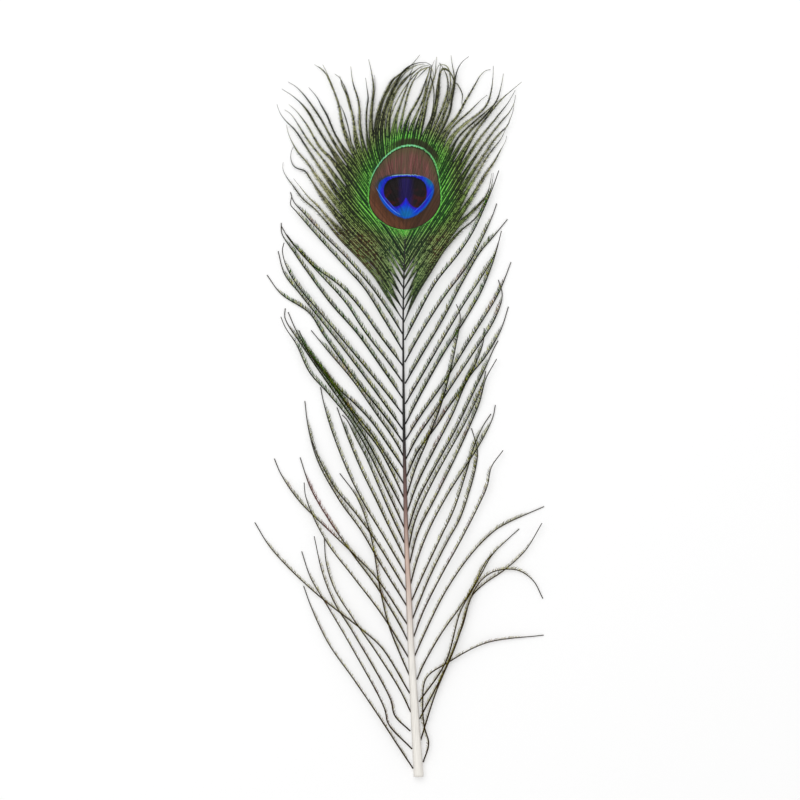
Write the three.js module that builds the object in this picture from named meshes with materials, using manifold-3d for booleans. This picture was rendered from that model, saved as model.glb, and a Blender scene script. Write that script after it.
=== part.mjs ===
// A peacock tail feather, cut to its eye end, lying flat with its display side up.
//
// Millimetres, +Z up. The shaft runs along +Y from its cut end to the eye, and the feather lies on the
// plane z = 0 with the middle of its outline over the origin. The feather grew as one piece, so it is one
// mesh: a tapering shaft, the two webs of the eye on either side of it, and one thin lock for each loose
// barb and for each strand of the fan. Every lock reaches the tip of its barb.

import * as THREE from "three";
import { mergeVertices } from "three/addons/utils/BufferGeometryUtils.js";
import Module from "manifold-3d";

// ---------------------------------------------------------------- driving dimensions
const SHAFT_CUT_WIDTH = 4.2; // across the cut end of the shaft
const SHAFT_TIP_WIDTH = 0.5; // across its end inside the eye
const SHAFT_TAPER = 1.8; // power of the taper between them
const SHAFT_HEIGHT_SHARE = 0.85; // the shaft is a little wider than it is high
const SHAFT_FLAT_SHARE = 0.5; // share of the width that is flat underneath
const SHAFT_STATIONS = 26;
const CUT_Y = -151.8; // the cut end of the shaft
const SHAFT_END_Y = 94; // where the shaft runs out, inside the eye
const BOW_START_Y = -30; // from here the shaft bows up off the surface
const BOW_TOP_Y = 75;
const BOW_RISE = 2.6; // its height off the surface inside the eye

const LOCK_ROOT_HALF_WIDTH = 0.5;
const LOCK_MIDDLE_HALF_WIDTH = 0.78;
const LOCK_TIP_HALF_WIDTH = 0.3;
const LOCK_WIDEST_SHARE = 0.35; // where along a lock it is widest
const LOCK_FLATNESS = 0.62; // height of a lock as a share of its width
const LOCK_SEGMENT_LENGTH = 9.5; // a lock has one straight segment for about this length
const LEAST_LOCK_SEGMENTS = 4;
const LOCK_ROOT_SINK = 0.6; // share of the shaft's half width that a lock's root reaches into it
const TIP_REST_HEIGHT = 0.3; // centre of a tip that touches the surface
const CURL_START_SHARE = 0.6; // a curling tip lifts off from here on

const WEB_SHARE = 0.6; // share of a fan barb's length that is closed into the web
const WEB_THICKNESS = 0.7;
const WEB_ROWS = 7;
const STRAND_START_SHARE = 0.5; // a strand's lock starts inside the web
const FAN_ARCH = 0.9; // how far the fan barbs bow up between root and tip

const FEATHER_COLOUR = 0x4a5a30;

// The centre-line of the shaft seen from above, cut end first. It is nearly straight and leans to +X
// towards the cut.
const SHAFT_LINE = [
  [7.8, CUT_Y],
  [6.2, -125],
  [4.8, -101],
  [3.5, -72],
  [2.7, -53],
  [2.1, -29],
  [1.6, 0],
  [1.4, 48],
  [2.2, 77],
  [1.9, SHAFT_END_Y],
];

// Loose barbs, each from the shaft's edge to its tip, in order up the shaft.
const LEFT_BARBS = [
  [[5.5, -148.5], [0, -140.2], [-10, -124.8], [-20, -110.2], [-30, -96], [-37, -81.5], [-40.5, -72]],
  [[5, -140.3], [-4.8, -129.8], [-6.6, -123], [-20, -98], [-30, -81], [-37.5, -68.5], [-41.3, -57.5]],
  [[4.3, -132.8], [-2.2, -126.3], [-4, -119.5], [-20, -91], [-27.5, -79], [-32.5, -66.5], [-36, -51]],
  [[4.5, -124.8], [0, -115.5], [-10, -99.5], [-20, -85], [-27.5, -73], [-31, -62], [-31.8, -52]],
  [[4.1, -117], [-7.5, -98], [-15, -91], [-32.5, -77.3], [-45, -66], [-55, -55], [-61, -45.3]],
  [[4.1, -109.8], [0, -100.5], [-4.5, -89], [-8, -75], [-12.5, -50], [-18, -35], [-25.3, -24.7]],
  [[3.6, -102], [-7.5, -84], [-20, -67.5], [-30, -54.5], [-36.5, -42.5], [-39.6, -34], [-40.2, -28.5]],
  [[3.3, -95], [0, -88.5], [-10, -72], [-20, -58.5], [-30, -44], [-37.5, -31], [-42, -18]],
  [[3, -88], [-10, -68.5], [-20, -58], [-32.5, -46], [-42.5, -36], [-50, -25], [-52.8, -18.5]],
  [[2.8, -80.3], [-8, -63], [-16.4, -48.5], [-25.2, -36.3], [-34.5, -19.5], [-38.5, -5.5], [-40, 5.7]],
  [[2.6, -74], [-10.2, -53.1], [-18.2, -42], [-27.5, -30.5], [-34, -18.5], [-37, -11]],
  [[2.4, -67], [-7, -50.9], [-15.4, -36.8], [-22.5, -22.5], [-29.4, -4.4], [-32.3, 6], [-33.4, 11.5]],
  [[2.1, -60.6], [-5.1, -46.2], [-10, -36], [-16.8, -22], [-22.3, -8.6], [-26.5, 3]],
  [[1.8, -53.9], [-4.7, -40], [-9.7, -28.4], [-14.7, -17], [-18.5, -9.9], [-22.5, -2], [-24.3, -0.2]],
  [[1.7, -47.3], [-4.6, -33.8], [-12.6, -17], [-20.5, -3], [-30, 8.7], [-38, 17.8], [-43.5, 29.5],
    [-48, 36.4], [-50, 41]],
  [[1.6, -40.5], [-6, -26], [-14.3, -10.5], [-22.5, 2], [-31, 14], [-40.5, 28], [-48.3, 40.5], [-48.2, 44.6]],
  [[1.5, -34.7], [-2.9, -25.4], [-9.2, -13.7], [-17, -3.5], [-27, 10.5], [-37, 24], [-43.5, 35], [-47, 43]],
  [[1.5, -29], [-5.5, -17.9], [-12.6, -7.4], [-20.2, 1.9], [-30, 15.3], [-38.6, 27.4], [-42.5, 35.4]],
  [[1.5, -22.6], [-4.2, -14.2], [-12, -3], [-19, 4.5], [-27, 12], [-34, 20.5], [-38.5, 26]],
  [[1.4, -17.4], [-2.4, -10.7], [-10, 0.3], [-20.2, 14.8], [-30, 26.4], [-37.3, 35.3]],
  [[1.4, -11.8], [-6.3, -1], [-15.5, 10.5], [-25, 23.3], [-32.5, 34], [-38, 42.5], [-50, 50.7], [-55.9, 58.6]],
  [[1.3, -6.5], [-6.3, 4], [-14.7, 15.5], [-23.1, 26.7], [-31.5, 37.4], [-42, 50.6], [-48.5, 59], [-51.2, 68.6]],
  [[1.3, -0.1], [-5, 8], [-13.5, 18.5], [-23, 30], [-33, 42], [-44, 55.5], [-48, 63], [-49.3, 69], [-48.6, 72]],
  [[1.2, 6.7], [-8, 20], [-18, 34], [-29, 46.5], [-39, 60], [-44.5, 68], [-49.6, 76], [-49.9, 80.5]],
  [[1.2, 13.5], [-5, 22], [-15, 35], [-22.9, 47], [-33, 58.2], [-41, 67], [-46.5, 73.5], [-49.8, 79]],
  [[1.2, 20.4], [-8.4, 33], [-16.8, 44.8], [-25.2, 54], [-35.7, 61.8], [-41.5, 67.5], [-47.5, 75.5]],
  [[1.2, 26.8], [-6.8, 40], [-15, 53], [-23, 62], [-33, 73], [-44, 85.6], [-45.9, 88], [-45.5, 91]],
  [[1.2, 33.6], [-6, 45], [-12.5, 54], [-23, 66.2], [-32, 75.2], [-40, 84], [-44.7, 89.5], [-46, 93.4]],
];

const RIGHT_BARBS = [
  [[9.7, -145.8], [12, -138], [10.2, -131], [9.5, -122], [11, -110.5], [20, -104], [36, -95.8], [60.3, -92.6]],
  [[8.6, -136.7], [15, -116.5], [23, -97.5], [31.5, -73], [37, -67], [43, -65], [50, -65.5], [56, -69.8],
    [60, -77.3]],
  [[8.2, -127.7], [17.8, -109], [26.3, -88.5], [30, -76.5], [35, -71.3], [44, -65], [52.5, -57], [59.5, -45.5]],
  [[8, -120.5], [19, -104], [25.3, -82.5], [30, -74], [34.5, -66], [38.5, -59], [45, -52.5], [50, -48]],
  [[7, -111.2], [10, -104.5], [17.5, -91.5], [25, -81], [30.3, -73], [36, -61.8], [40, -57.3]],
  [[6.1, -101.3], [10, -92.5], [17.5, -77], [25, -65], [32.5, -55.5], [40, -48.5], [45, -45.5], [60.5, -38.6]],
  [[5.7, -93.2], [10, -82], [17.5, -67], [25, -53.5], [32.5, -39], [36.5, -30], [38.3, -22], [43.2, -15]],
  [[5.2, -85.7], [12.5, -68], [20, -53], [25, -44], [29, -32.5], [31.8, -22], [32.5, -15], [30, -5.8]],
  [[4.9, -78], [10, -66.5], [17.5, -50.5], [22.5, -40], [28, -23.5], [31, -13.5], [35, -4.5], [38.2, 0.3]],
  [[4.4, -71], [7.5, -60], [12.5, -47.5], [20, -33.5], [27.5, -21.8], [34.8, -10], [39, -1], [40, 4]],
  [[4, -62.4], [7.5, -49.5], [15, -34.5], [22.5, -19.5], [29.2, -5], [33.3, 5], [36, 15], [40.5, 23.3]],
  [[3.6, -56], [6.3, -44.5], [12.5, -30.5], [20, -16.5], [26.5, -5], [31.5, 5], [35, 14], [36, 18.3]],
  [[3.3, -48.5], [7.5, -36], [15, -21.5], [24, -5], [31.2, 10], [36, 20], [39.5, 28], [41.2, 31]],
  [[3, -40.7], [7.5, -28.5], [15, -13.5], [22, 0], [28.6, 15], [36, 24.5], [42.3, 35.5], [45.5, 45.3]],
  [[2.8, -34], [6.5, -22.5], [12, -9.5], [17.5, 5], [20.5, 16], [23.3, 28.5], [25.2, 41.5], [23.6, 46.2]],
  [[2.6, -26.2], [7.5, -15.5], [15.1, -5], [20.7, 3.5], [27, 12.3], [32.8, 24], [35, 31], [35.3, 36.3]],
  [[2.5, -18.5], [7, -10], [14, 0.4], [20.3, 10], [30.2, 25], [39.7, 40], [42.9, 50], [41.3, 56.5]],
  [[2.3, -10.5], [9, 0], [19, 14.4], [28.6, 30], [34.9, 40], [41.4, 51], [46.6, 64]],
  [[2.2, -4], [9.5, 10], [17.9, 25], [27.4, 40], [34, 51.5], [39, 64], [41, 71], [42.5, 77]],
  [[2.2, 4.5], [8.4, 15], [17.1, 30], [26, 45], [34.2, 57.7], [39.4, 66.5], [41.2, 72]],
  [[2.1, 13], [9.1, 25], [18, 40], [26.5, 56], [33.5, 68], [39, 74.5], [45.1, 82]],
  [[2, 22], [9.3, 35], [19, 50], [28, 62], [34.3, 73.5], [38.8, 83.5], [40.6, 88.6]],
  [[1.9, 31.2], [6.5, 40], [15, 55.3], [25, 68], [30.8, 77], [36, 88.3], [39, 95.5], [41.4, 102.3]],
];

// Barbs of the fan and the crown, whose inner parts close into the web of the eye. Each side runs from the
// outer edge of the fan inwards, and both sides end with the barb that carries on in line with the shaft.
const MIDDLE_BARB = [[2, 90], [1.9, 98], [2.3, 106], [4, 118], [8, 128.5], [11, 136], [13, 146]];

const LEFT_FAN = [
  [[1.44, 39.6], [-5, 49], [-13, 60.5], [-27, 76], [-36, 86.5], [-45, 96], [-49.2, 103], [-49, 106]],
  [[1.41, 48.5], [-12, 68], [-27, 84], [-37, 98.5], [-42.5, 103], [-45.8, 106.5], [-45.9, 109.5], [-44.2, 112.8]],
  [[1.6, 57], [-11, 75], [-26, 92.5], [-38, 110.5], [-47.5, 122.5], [-51.5, 130.3]],
  [[1.85, 64], [-10.5, 82], [-23.5, 99], [-33.5, 112], [-41, 124], [-46.5, 130.2]],
  [[1.95, 67], [-10, 84.5], [-22, 101], [-31, 114.5], [-38, 126], [-49.5, 136.5]],
  [[2.04, 69.8], [-9.5, 86.5], [-20.5, 102.5], [-28.5, 115.5], [-37.5, 130.5], [-47, 139.5]],
  [[2.1, 72.2], [-8.5, 88.5], [-18.5, 104], [-26.5, 116], [-30.5, 125.5], [-38.3, 137.3]],
  [[2.14, 74.4], [-7.8, 90.5], [-17, 105], [-23, 118.5], [-26.7, 133.3], [-32.5, 146.5]],
  [[2.19, 76.4], [-7, 91.5], [-15.5, 107], [-19.3, 122], [-22.5, 135.5], [-27.5, 142.8]],
  [[2.16, 79.8], [-5.6, 93.5], [-12, 108.5], [-14.2, 122], [-13.3, 132.5], [-14.5, 141]],
  [[2.14, 81.2], [-5, 94.5], [-10.8, 109], [-12.3, 124], [-11.2, 138], [-13.2, 149]],
  [[2.12, 82.6], [-4.2, 95.5], [-9.3, 109.5], [-10, 122], [-6.3, 134.5], [0, 142.8], [8.4, 151]],
  [[2.07, 85.3], [-2.7, 97.8], [-5.2, 111], [-4.5, 123], [-1, 135], [4, 143], [10, 147.2]],
];

const RIGHT_FAN = [
  [[1.44, 38.5], [6.8, 50], [18, 68], [26, 77.5], [33, 84], [37, 92.5], [39.1, 101.4]],
  [[1.4, 48], [10, 62], [24, 81.5], [33, 96], [39.5, 106], [44.6, 116.8]],
  [[1.59, 56.5], [12, 73], [23, 89.5], [32, 104], [39, 114.5], [45, 121], [47.4, 127]],
  [[1.71, 60], [11.5, 76], [22, 92.5], [31, 107], [39, 118.5], [46, 127], [48.4, 134]],
  [[1.92, 66.2], [10.5, 81.5], [20, 98], [28.5, 113], [35.5, 123.5], [43.5, 133], [51, 139.4]],
  [[2.02, 69], [10, 84], [18.8, 100.5], [26.5, 114.5], [34.5, 124], [41, 132.5], [43.3, 143]],
  [[2.13, 73.7], [8.8, 88], [16.2, 104.5], [22.5, 117.5], [31.5, 125], [37.2, 131.5], [39, 146]],
  [[2.17, 75.7], [8.2, 90], [15, 106.5], [20.8, 119], [28.5, 126.5], [36.5, 134]],
  [[2.19, 77.5], [7.6, 92], [14, 108.5], [20.5, 120.5], [26.5, 129.5], [33.5, 142], [38, 144.8]],
  [[2.17, 79.2], [7, 93.5], [13, 110], [18.7, 121.5], [22, 132.5], [24.3, 145], [29, 150.2]],
  [[2.13, 82.2], [5.9, 96.5], [10.9, 112], [15.7, 123.5], [19.8, 134.5], [22.3, 142], [21.5, 150.8]],
  [[2.08, 84.9], [4.9, 98.8], [8.8, 114], [12.6, 126], [15.5, 138], [17, 147.2]],
];

// ---------------------------------------------------------------- heights
const smooth = (t) => {
  const s = Math.min(1, Math.max(0, t));
  return s * s * (3 - 2 * s);
};

const shaftWidth = (y) => {
  const share = Math.max(0, (SHAFT_END_Y - y) / (SHAFT_END_Y - CUT_Y));
  return SHAFT_TIP_WIDTH + (SHAFT_CUT_WIDTH - SHAFT_TIP_WIDTH) * share ** SHAFT_TAPER;
};
const shaftHeight = (y) => SHAFT_HEIGHT_SHARE * shaftWidth(y);
const shaftBottom = (y) => BOW_RISE * smooth((y - BOW_START_Y) / (BOW_TOP_Y - BOW_START_Y));
const shaftMiddle = (y) => shaftBottom(y) + shaftHeight(y) / 2;

// Barbs rise a little from the shaft and come down to the surface. Loose neighbours rise by different
// amounts, so that those which cross pass over each other, and some tips curl up off the surface.
const looseArch = (index) => 1.3 + 1.1 * Math.sin(2.4 * index);
const looseCurl = (index) => (index % 4 === 2 ? 2.2 : 0);
const fanCurl = (index) => (index % 3 === 1 ? 2.4 : 0.6);

// A barb in space: its plan curve, with a height that runs from its root over an arch to the surface, and
// the curl of its tip on top of that.
function barbCurve(plan, arch, curl) {
  const points = plan.map(([x, y]) => new THREE.Vector3(x, y, 0));
  const outline = new THREE.CatmullRomCurve3(points, false, "centripetal");
  const rootHeight = shaftMiddle(plan[0][1]);
  return (t) => {
    const point = outline.getPointAt(t);
    point.z = rootHeight + (TIP_REST_HEIGHT - rootHeight) * t + arch * Math.sin(Math.PI * t);
    point.z += curl * smooth((t - CURL_START_SHARE) / (1 - CURL_START_SHARE));
    return point;
  };
}

const looseCurves = (plans) =>
  plans.map((plan, index) => barbCurve(plan, looseArch(index), looseCurl(index)));
const fanCurves = (plans) => plans.map((plan, index) => barbCurve(plan, FAN_ARCH, fanCurl(index)));

// ---------------------------------------------------------------- solids
const wasm = await Module();
wasm.setup();

function solidOf(positions, faces) {
  const geometry = new THREE.BufferGeometry();
  geometry.setAttribute("position", new THREE.Float32BufferAttribute(positions, 3));
  geometry.setIndex(faces);
  const merged = mergeVertices(geometry);
  const vertProperties = new Float32Array(merged.attributes.position.array);
  const triVerts = new Uint32Array(merged.index.array);
  return new wasm.Manifold(new wasm.Mesh({ numProp: 3, vertProperties, triVerts }));
}

const coordinates = (points) => points.flatMap((point) => [point.x, point.y, point.z]);

// A closed skin over rings of points that follow a path. Each ring runs counter-clockwise when the path
// points at the viewer, and the two end rings are convex and are capped.
function skinnedSolid(rings) {
  const sides = rings[0].length;
  const faces = [];
  for (let ring = 0; ring + 1 < rings.length; ring++) {
    for (let side = 0; side < sides; side++) {
      const a = ring * sides + side;
      const b = ring * sides + ((side + 1) % sides);
      faces.push(a, b, b + sides, a, b + sides, a + sides);
    }
  }
  const last = (rings.length - 1) * sides;
  for (let side = 1; side + 1 < sides; side++) {
    faces.push(0, side + 1, side, last, last + side, last + side + 1);
  }
  return solidOf(coordinates(rings.flat()), faces);
}

// The shaft's section is a rounded bar with a flat underside, in shares of its half width and its height.
const SHAFT_SECTION = [
  [SHAFT_FLAT_SHARE, 0],
  [0.92, 0.22],
  [1, 0.55],
  [0.7, 0.9],
  [0, 1],
  [-0.7, 0.9],
  [-1, 0.55],
  [-0.92, 0.22],
  [-SHAFT_FLAT_SHARE, 0],
];

function shaftSolid() {
  const line = new THREE.CatmullRomCurve3(SHAFT_LINE.map(([x, y]) => new THREE.Vector3(x, y, 0)));
  const rings = [];
  for (let station = 0; station <= SHAFT_STATIONS; station++) {
    const centre = line.getPointAt(station / SHAFT_STATIONS);
    const halfWidth = shaftWidth(centre.y) / 2;
    const bottom = shaftBottom(centre.y);
    const height = shaftHeight(centre.y);
    const ring = SHAFT_SECTION.map(
      ([across, up]) => new THREE.Vector3(centre.x + across * halfWidth, centre.y, bottom + up * height),
    );
    rings.push(ring.reverse());
  }
  return skinnedSolid(rings);
}

// A lock is a tube of diamond section along a barb, widest about a third of the way along.
const lockHalfWidth = (t) => {
  const rising = LOCK_MIDDLE_HALF_WIDTH - LOCK_ROOT_HALF_WIDTH;
  const full = LOCK_ROOT_HALF_WIDTH + rising * smooth(t / LOCK_WIDEST_SHARE);
  const falling = smooth((t - LOCK_WIDEST_SHARE) / (1 - LOCK_WIDEST_SHARE));
  return full + (LOCK_TIP_HALF_WIDTH - full) * falling;
};

function planLength(plan) {
  let length = 0;
  for (let i = 1; i < plan.length; i++) {
    length += Math.hypot(plan[i][0] - plan[i - 1][0], plan[i][1] - plan[i - 1][1]);
  }
  return length;
}

// The lock along a barb's curve from the share `start` of its length to its tip, its root pushed back by
// `sink` into what it grows from.
function lockSolid(curve, plan, start, sink) {
  const length = planLength(plan) * (1 - start);
  const segments = Math.max(LEAST_LOCK_SEGMENTS, Math.round(length / LOCK_SEGMENT_LENGTH));
  const shares = Array.from({ length: segments + 1 }, (_, i) => start + ((1 - start) * i) / segments);
  const centres = shares.map(curve);
  const rootDirection = centres[1].clone().sub(centres[0]).setZ(0).normalize();
  centres[0].addScaledVector(rootDirection, -sink);
  const rings = centres.map((centre, i) => {
    const before = centres[Math.max(0, i - 1)];
    const after = centres[Math.min(segments, i + 1)];
    const along = after.clone().sub(before).normalize();
    const across = new THREE.Vector3(along.y, -along.x, 0).normalize();
    const up = new THREE.Vector3().crossVectors(across, along);
    const halfWidth = lockHalfWidth(shares[i]);
    const halfHeight = Math.min(halfWidth * LOCK_FLATNESS, centre.z);
    return [
      centre.clone().addScaledVector(across, -halfWidth),
      centre.clone().addScaledVector(up, halfHeight),
      centre.clone().addScaledVector(across, halfWidth),
      centre.clone().addScaledVector(up, -halfHeight),
    ];
  });
  return skinnedSolid(rings);
}

const looseLocks = (plans) =>
  looseCurves(plans).map((curve, index) => {
    const sink = (LOCK_ROOT_SINK * shaftWidth(plans[index][0][1])) / 2;
    return lockSolid(curve, plans[index], 0, sink);
  });

const strandLocks = (plans) =>
  fanCurves(plans).map((curve, index) => lockSolid(curve, plans[index], STRAND_START_SHARE, 0));

// One web of the eye: a thin plate over the inner parts of neighbouring fan barbs, given from left to
// right. Its grid has a column for each barb and is closed all round.
function webSolid(curves) {
  const columns = curves.length;
  const rows = WEB_ROWS + 1;
  const top = [];
  const bottom = [];
  for (const curve of curves) {
    for (let row = 0; row < rows; row++) {
      const point = curve((WEB_SHARE * row) / WEB_ROWS);
      top.push(point.clone().setZ(point.z + WEB_THICKNESS / 2));
      bottom.push(point.clone().setZ(point.z - WEB_THICKNESS / 2));
    }
  }
  const under = top.length;
  const faces = [];
  const addQuad = (a, b, c, d) => faces.push(a, b, c, a, c, d);
  for (let column = 0; column + 1 < columns; column++) {
    for (let row = 0; row + 1 < rows; row++) {
      const a = column * rows + row;
      const b = a + rows;
      addQuad(a, b, b + 1, a + 1);
      addQuad(under + a, under + a + 1, under + b + 1, under + b);
    }
    const root = column * rows;
    const rim = root + WEB_ROWS;
    addQuad(root, under + root, under + root + rows, root + rows);
    addQuad(rim, rim + rows, under + rim + rows, under + rim);
  }
  const lastColumn = (columns - 1) * rows;
  for (let row = 0; row + 1 < rows; row++) {
    const next = lastColumn + row;
    addQuad(row, row + 1, under + row + 1, under + row);
    addQuad(next, under + next, under + next + 1, next + 1);
  }
  return solidOf(coordinates([...top, ...bottom]), faces);
}

function webs() {
  const middle = barbCurve(MIDDLE_BARB, FAN_ARCH, 0);
  return [webSolid([...fanCurves(LEFT_FAN), middle]), webSolid([middle, ...fanCurves(RIGHT_FAN).reverse()])];
}

// ---------------------------------------------------------------- the feather
function featherMesh() {
  const middleStrand = barbCurve(MIDDLE_BARB, FAN_ARCH, 0);
  const pieces = [
    ...webs(),
    lockSolid(middleStrand, MIDDLE_BARB, STRAND_START_SHARE, 0),
    ...strandLocks(LEFT_FAN),
    ...strandLocks(RIGHT_FAN),
    ...looseLocks(LEFT_BARBS),
    ...looseLocks(RIGHT_BARBS),
  ];
  const grown = pieces.reduce((joined, piece) => joined.add(piece), shaftSolid());
  const made = grown.getMesh();
  const geometry = new THREE.BufferGeometry();
  geometry.setAttribute("position", new THREE.BufferAttribute(made.vertProperties, 3));
  geometry.setIndex(new THREE.BufferAttribute(made.triVerts, 1));
  const flat = geometry.toNonIndexed();
  flat.computeVertexNormals();
  const material = new THREE.MeshStandardMaterial({ color: FEATHER_COLOUR, roughness: 0.6, metalness: 0 });
  const mesh = new THREE.Mesh(flat, material);
  mesh.name = "feather";
  return mesh;
}

const feather = new THREE.Group();
feather.add(featherMesh());

export default feather;
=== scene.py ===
# %% [markdown]
# # A peacock feather, from shaft to eye
#
# A tail feather is one growth of horn. A shaft carries side branches, called barbs, and each barb
# carries a fringe of much finer branches, called barbules. Low on the feather the barbs stand apart.
# Round the eye they lie edge to edge, and the colour of each short stretch of barb adds one stroke to
# the picture. So this lesson grows the feather in the same order: routes of the barbs first, then a
# stem and a fringe along each route, and last a finish that knows where on the feather it lies.

import bpy
import numpy as np
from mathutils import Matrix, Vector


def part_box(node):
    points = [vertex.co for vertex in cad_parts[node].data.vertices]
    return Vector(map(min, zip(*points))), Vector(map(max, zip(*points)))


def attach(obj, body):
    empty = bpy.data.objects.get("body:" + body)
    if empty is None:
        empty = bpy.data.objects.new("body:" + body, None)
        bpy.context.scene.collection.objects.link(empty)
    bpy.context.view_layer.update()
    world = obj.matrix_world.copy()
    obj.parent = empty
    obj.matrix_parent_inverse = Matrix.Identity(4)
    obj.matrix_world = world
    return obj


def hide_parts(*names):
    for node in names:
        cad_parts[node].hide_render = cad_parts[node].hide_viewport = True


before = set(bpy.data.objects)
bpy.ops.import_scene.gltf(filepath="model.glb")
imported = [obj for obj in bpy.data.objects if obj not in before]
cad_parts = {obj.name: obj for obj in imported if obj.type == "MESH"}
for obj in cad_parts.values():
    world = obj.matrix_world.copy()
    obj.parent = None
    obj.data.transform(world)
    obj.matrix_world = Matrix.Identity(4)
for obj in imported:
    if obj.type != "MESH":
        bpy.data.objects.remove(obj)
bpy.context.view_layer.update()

# %% [markdown]
# ## Units and the box of the feather
#
# A feather is measured in millimetres and Blender works in metres, so every route below is written in
# millimetres and turned into metres once, when its mesh is made. The cut end of the shaft comes from the
# imported model, so the looks grow inside the same box.

# %% Units
MM = 0.001
cad_low, cad_high = (np.array(corner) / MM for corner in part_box("feather"))
CUT_Y = float(cad_low[1])            # the cut end of the shaft
SHAFT_END_Y = 94.0                   # where the shaft runs out, inside the eye
print("feather spans, in mm:", np.round(cad_high - cad_low, 1))

# %% [markdown]
# ## Camera, floor and light
#
# The feather lies flat and is seen from straight above. A long lens far away keeps the view nearly free
# of perspective. The floor is plain and pale. One very large soft light hangs overhead, a little towards
# the tip of the feather, so that the barbs have bright tops and their shadows stay faint.

# %% Camera
VIEW_SIZE = 336.0 * MM               # width of floor that the view takes in
VIEW_CENTRE_Y = 6.09 * MM
CAMERA_HEIGHT = 1.25
VIEW_DEPTH = 20.0
SENSOR = 36.0

camera_data = bpy.data.cameras.new("camera")
camera_data.sensor_width = SENSOR
camera_data.lens = SENSOR * CAMERA_HEIGHT / VIEW_SIZE
camera_data.clip_end = VIEW_DEPTH
camera = bpy.data.objects.new("camera", camera_data)
camera.location = (0, VIEW_CENTRE_Y, CAMERA_HEIGHT)
bpy.context.scene.collection.objects.link(camera)
bpy.context.scene.camera = camera
print("lens, in mm:", round(camera_data.lens, 1))

# %% Floor
FLOOR_HALF_SIZE = 3.0
FLOOR_LEVEL = -0.0001                # just under the feather, so that the two never share a plane
FLOOR_COLOUR = (0.84, 0.84, 0.84, 1)
FLOOR_ROUGHNESS = 0.9
FLOOR_GLOW = 0.16                    # the floor is a lit table top, which keeps shadows faint
WHITE = (1, 1, 1, 1)

floor_finish = bpy.data.materials.new("floor")
floor_finish.use_nodes = True
floor_shader = floor_finish.node_tree.nodes["Principled BSDF"]
for socket_name, value in (("Base Color", FLOOR_COLOUR), ("Roughness", FLOOR_ROUGHNESS),
                           ("Emission Color", WHITE), ("Emission Strength", FLOOR_GLOW)):
    floor_shader.inputs[socket_name].default_value = value

floor_mesh = bpy.data.meshes.new("floor")
floor_corners = [(x * FLOOR_HALF_SIZE, y * FLOOR_HALF_SIZE, FLOOR_LEVEL)
                 for x, y in ((-1, -1), (1, -1), (1, 1), (-1, 1))]
floor_mesh.from_pydata(floor_corners, [], [(0, 1, 2, 3)])
floor_mesh.materials.append(floor_finish)
floor = bpy.data.objects.new("floor", floor_mesh)
bpy.context.scene.collection.objects.link(floor)

# %% Light
SOFTBOX_SIZE = 1.6
SOFTBOX_POWER = 12.0
SOFTBOX_PLACE = (-0.35, 0.45, 1.4)
SOFTBOX_TURN = (-0.31, -0.24, 0)     # in radians, which points it at the middle of the feather
SKY_STRENGTH = 0.66

softbox_data = bpy.data.lights.new("softbox", "AREA")
softbox_data.shape = "SQUARE"
softbox_data.size = SOFTBOX_SIZE
softbox_data.energy = SOFTBOX_POWER
softbox = bpy.data.objects.new("softbox", softbox_data)
softbox.location = SOFTBOX_PLACE
softbox.rotation_euler = SOFTBOX_TURN
bpy.context.scene.collection.objects.link(softbox)

world = bpy.data.worlds.new("studio")
world.use_nodes = True
sky = world.node_tree.nodes["Background"]
sky.inputs["Color"].default_value = WHITE
sky.inputs["Strength"].default_value = SKY_STRENGTH
bpy.context.scene.world = world
bpy.context.scene.view_settings.view_transform = "Standard"

# %% [markdown]
# ## How high each part lies
#
# The shaft lies on the surface at its cut end and bows up a little towards the eye. Every barb leaves
# the middle of the shaft, rises in a low arch and comes down to the surface at its tip, and some tips
# curl up again. Loose barbs arch to different heights, so where two of them cross, one mostly passes
# over the other. At about a third of the crossings their stems still run a little into each other.

# %% Heights
SHAFT_CUT_WIDTH = 4.2
SHAFT_TIP_WIDTH = 0.5
SHAFT_TAPER = 1.8
SHAFT_HEIGHT_SHARE = 0.85            # height of the shaft as a share of its width
BOW_START_Y = -30.0
BOW_TOP_Y = 75.0
BOW_RISE = 2.6
TIP_REST_HEIGHT = 0.3
CURL_START_SHARE = 0.6
FAN_ARCH = 0.9
LOOSE_ARCH = 1.3
LOOSE_ARCH_SPREAD = 1.1              # a loose barb arches higher or lower than that by up to this
LOOSE_ARCH_STEP = 2.4                # radians from one barb to the next in the wave that spreads them
LOOSE_CURL = 2.2                     # one loose barb in four curls up at its tip
FAN_HIGH_CURL = 2.4                  # one guide of the fan in three curls up this far
FAN_LOW_CURL = 0.6


def smooth(value):
    share = np.clip(value, 0.0, 1.0)
    return share * share * (3 - 2 * share)


def shaft_width(y):
    share = np.maximum(0.0, (SHAFT_END_Y - y) / (SHAFT_END_Y - CUT_Y))
    return SHAFT_TIP_WIDTH + (SHAFT_CUT_WIDTH - SHAFT_TIP_WIDTH) * share ** SHAFT_TAPER


def shaft_bottom(y):
    return BOW_RISE * smooth((y - BOW_START_Y) / (BOW_TOP_Y - BOW_START_Y))


def shaft_middle(y):
    return shaft_bottom(y) + SHAFT_HEIGHT_SHARE * shaft_width(y) / 2


def barb_heights(root_y, shares, arch, curl):
    root = shaft_middle(root_y)
    low_arch = root + (TIP_REST_HEIGHT - root) * shares + arch * np.sin(np.pi * shares)
    return low_arch + curl * smooth((shares - CURL_START_SHARE) / (1 - CURL_START_SHARE))


def loose_arch(index):
    return LOOSE_ARCH + LOOSE_ARCH_SPREAD * np.sin(LOOSE_ARCH_STEP * index)


def loose_curl(index):
    return LOOSE_CURL if index % 4 == 2 else 0.0


def fan_curl(index):
    return FAN_HIGH_CURL if index % 3 == 1 else FAN_LOW_CURL


print("the shaft lies", round(float(shaft_bottom(80.0)), 2), "mm off the surface inside the eye")
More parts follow.
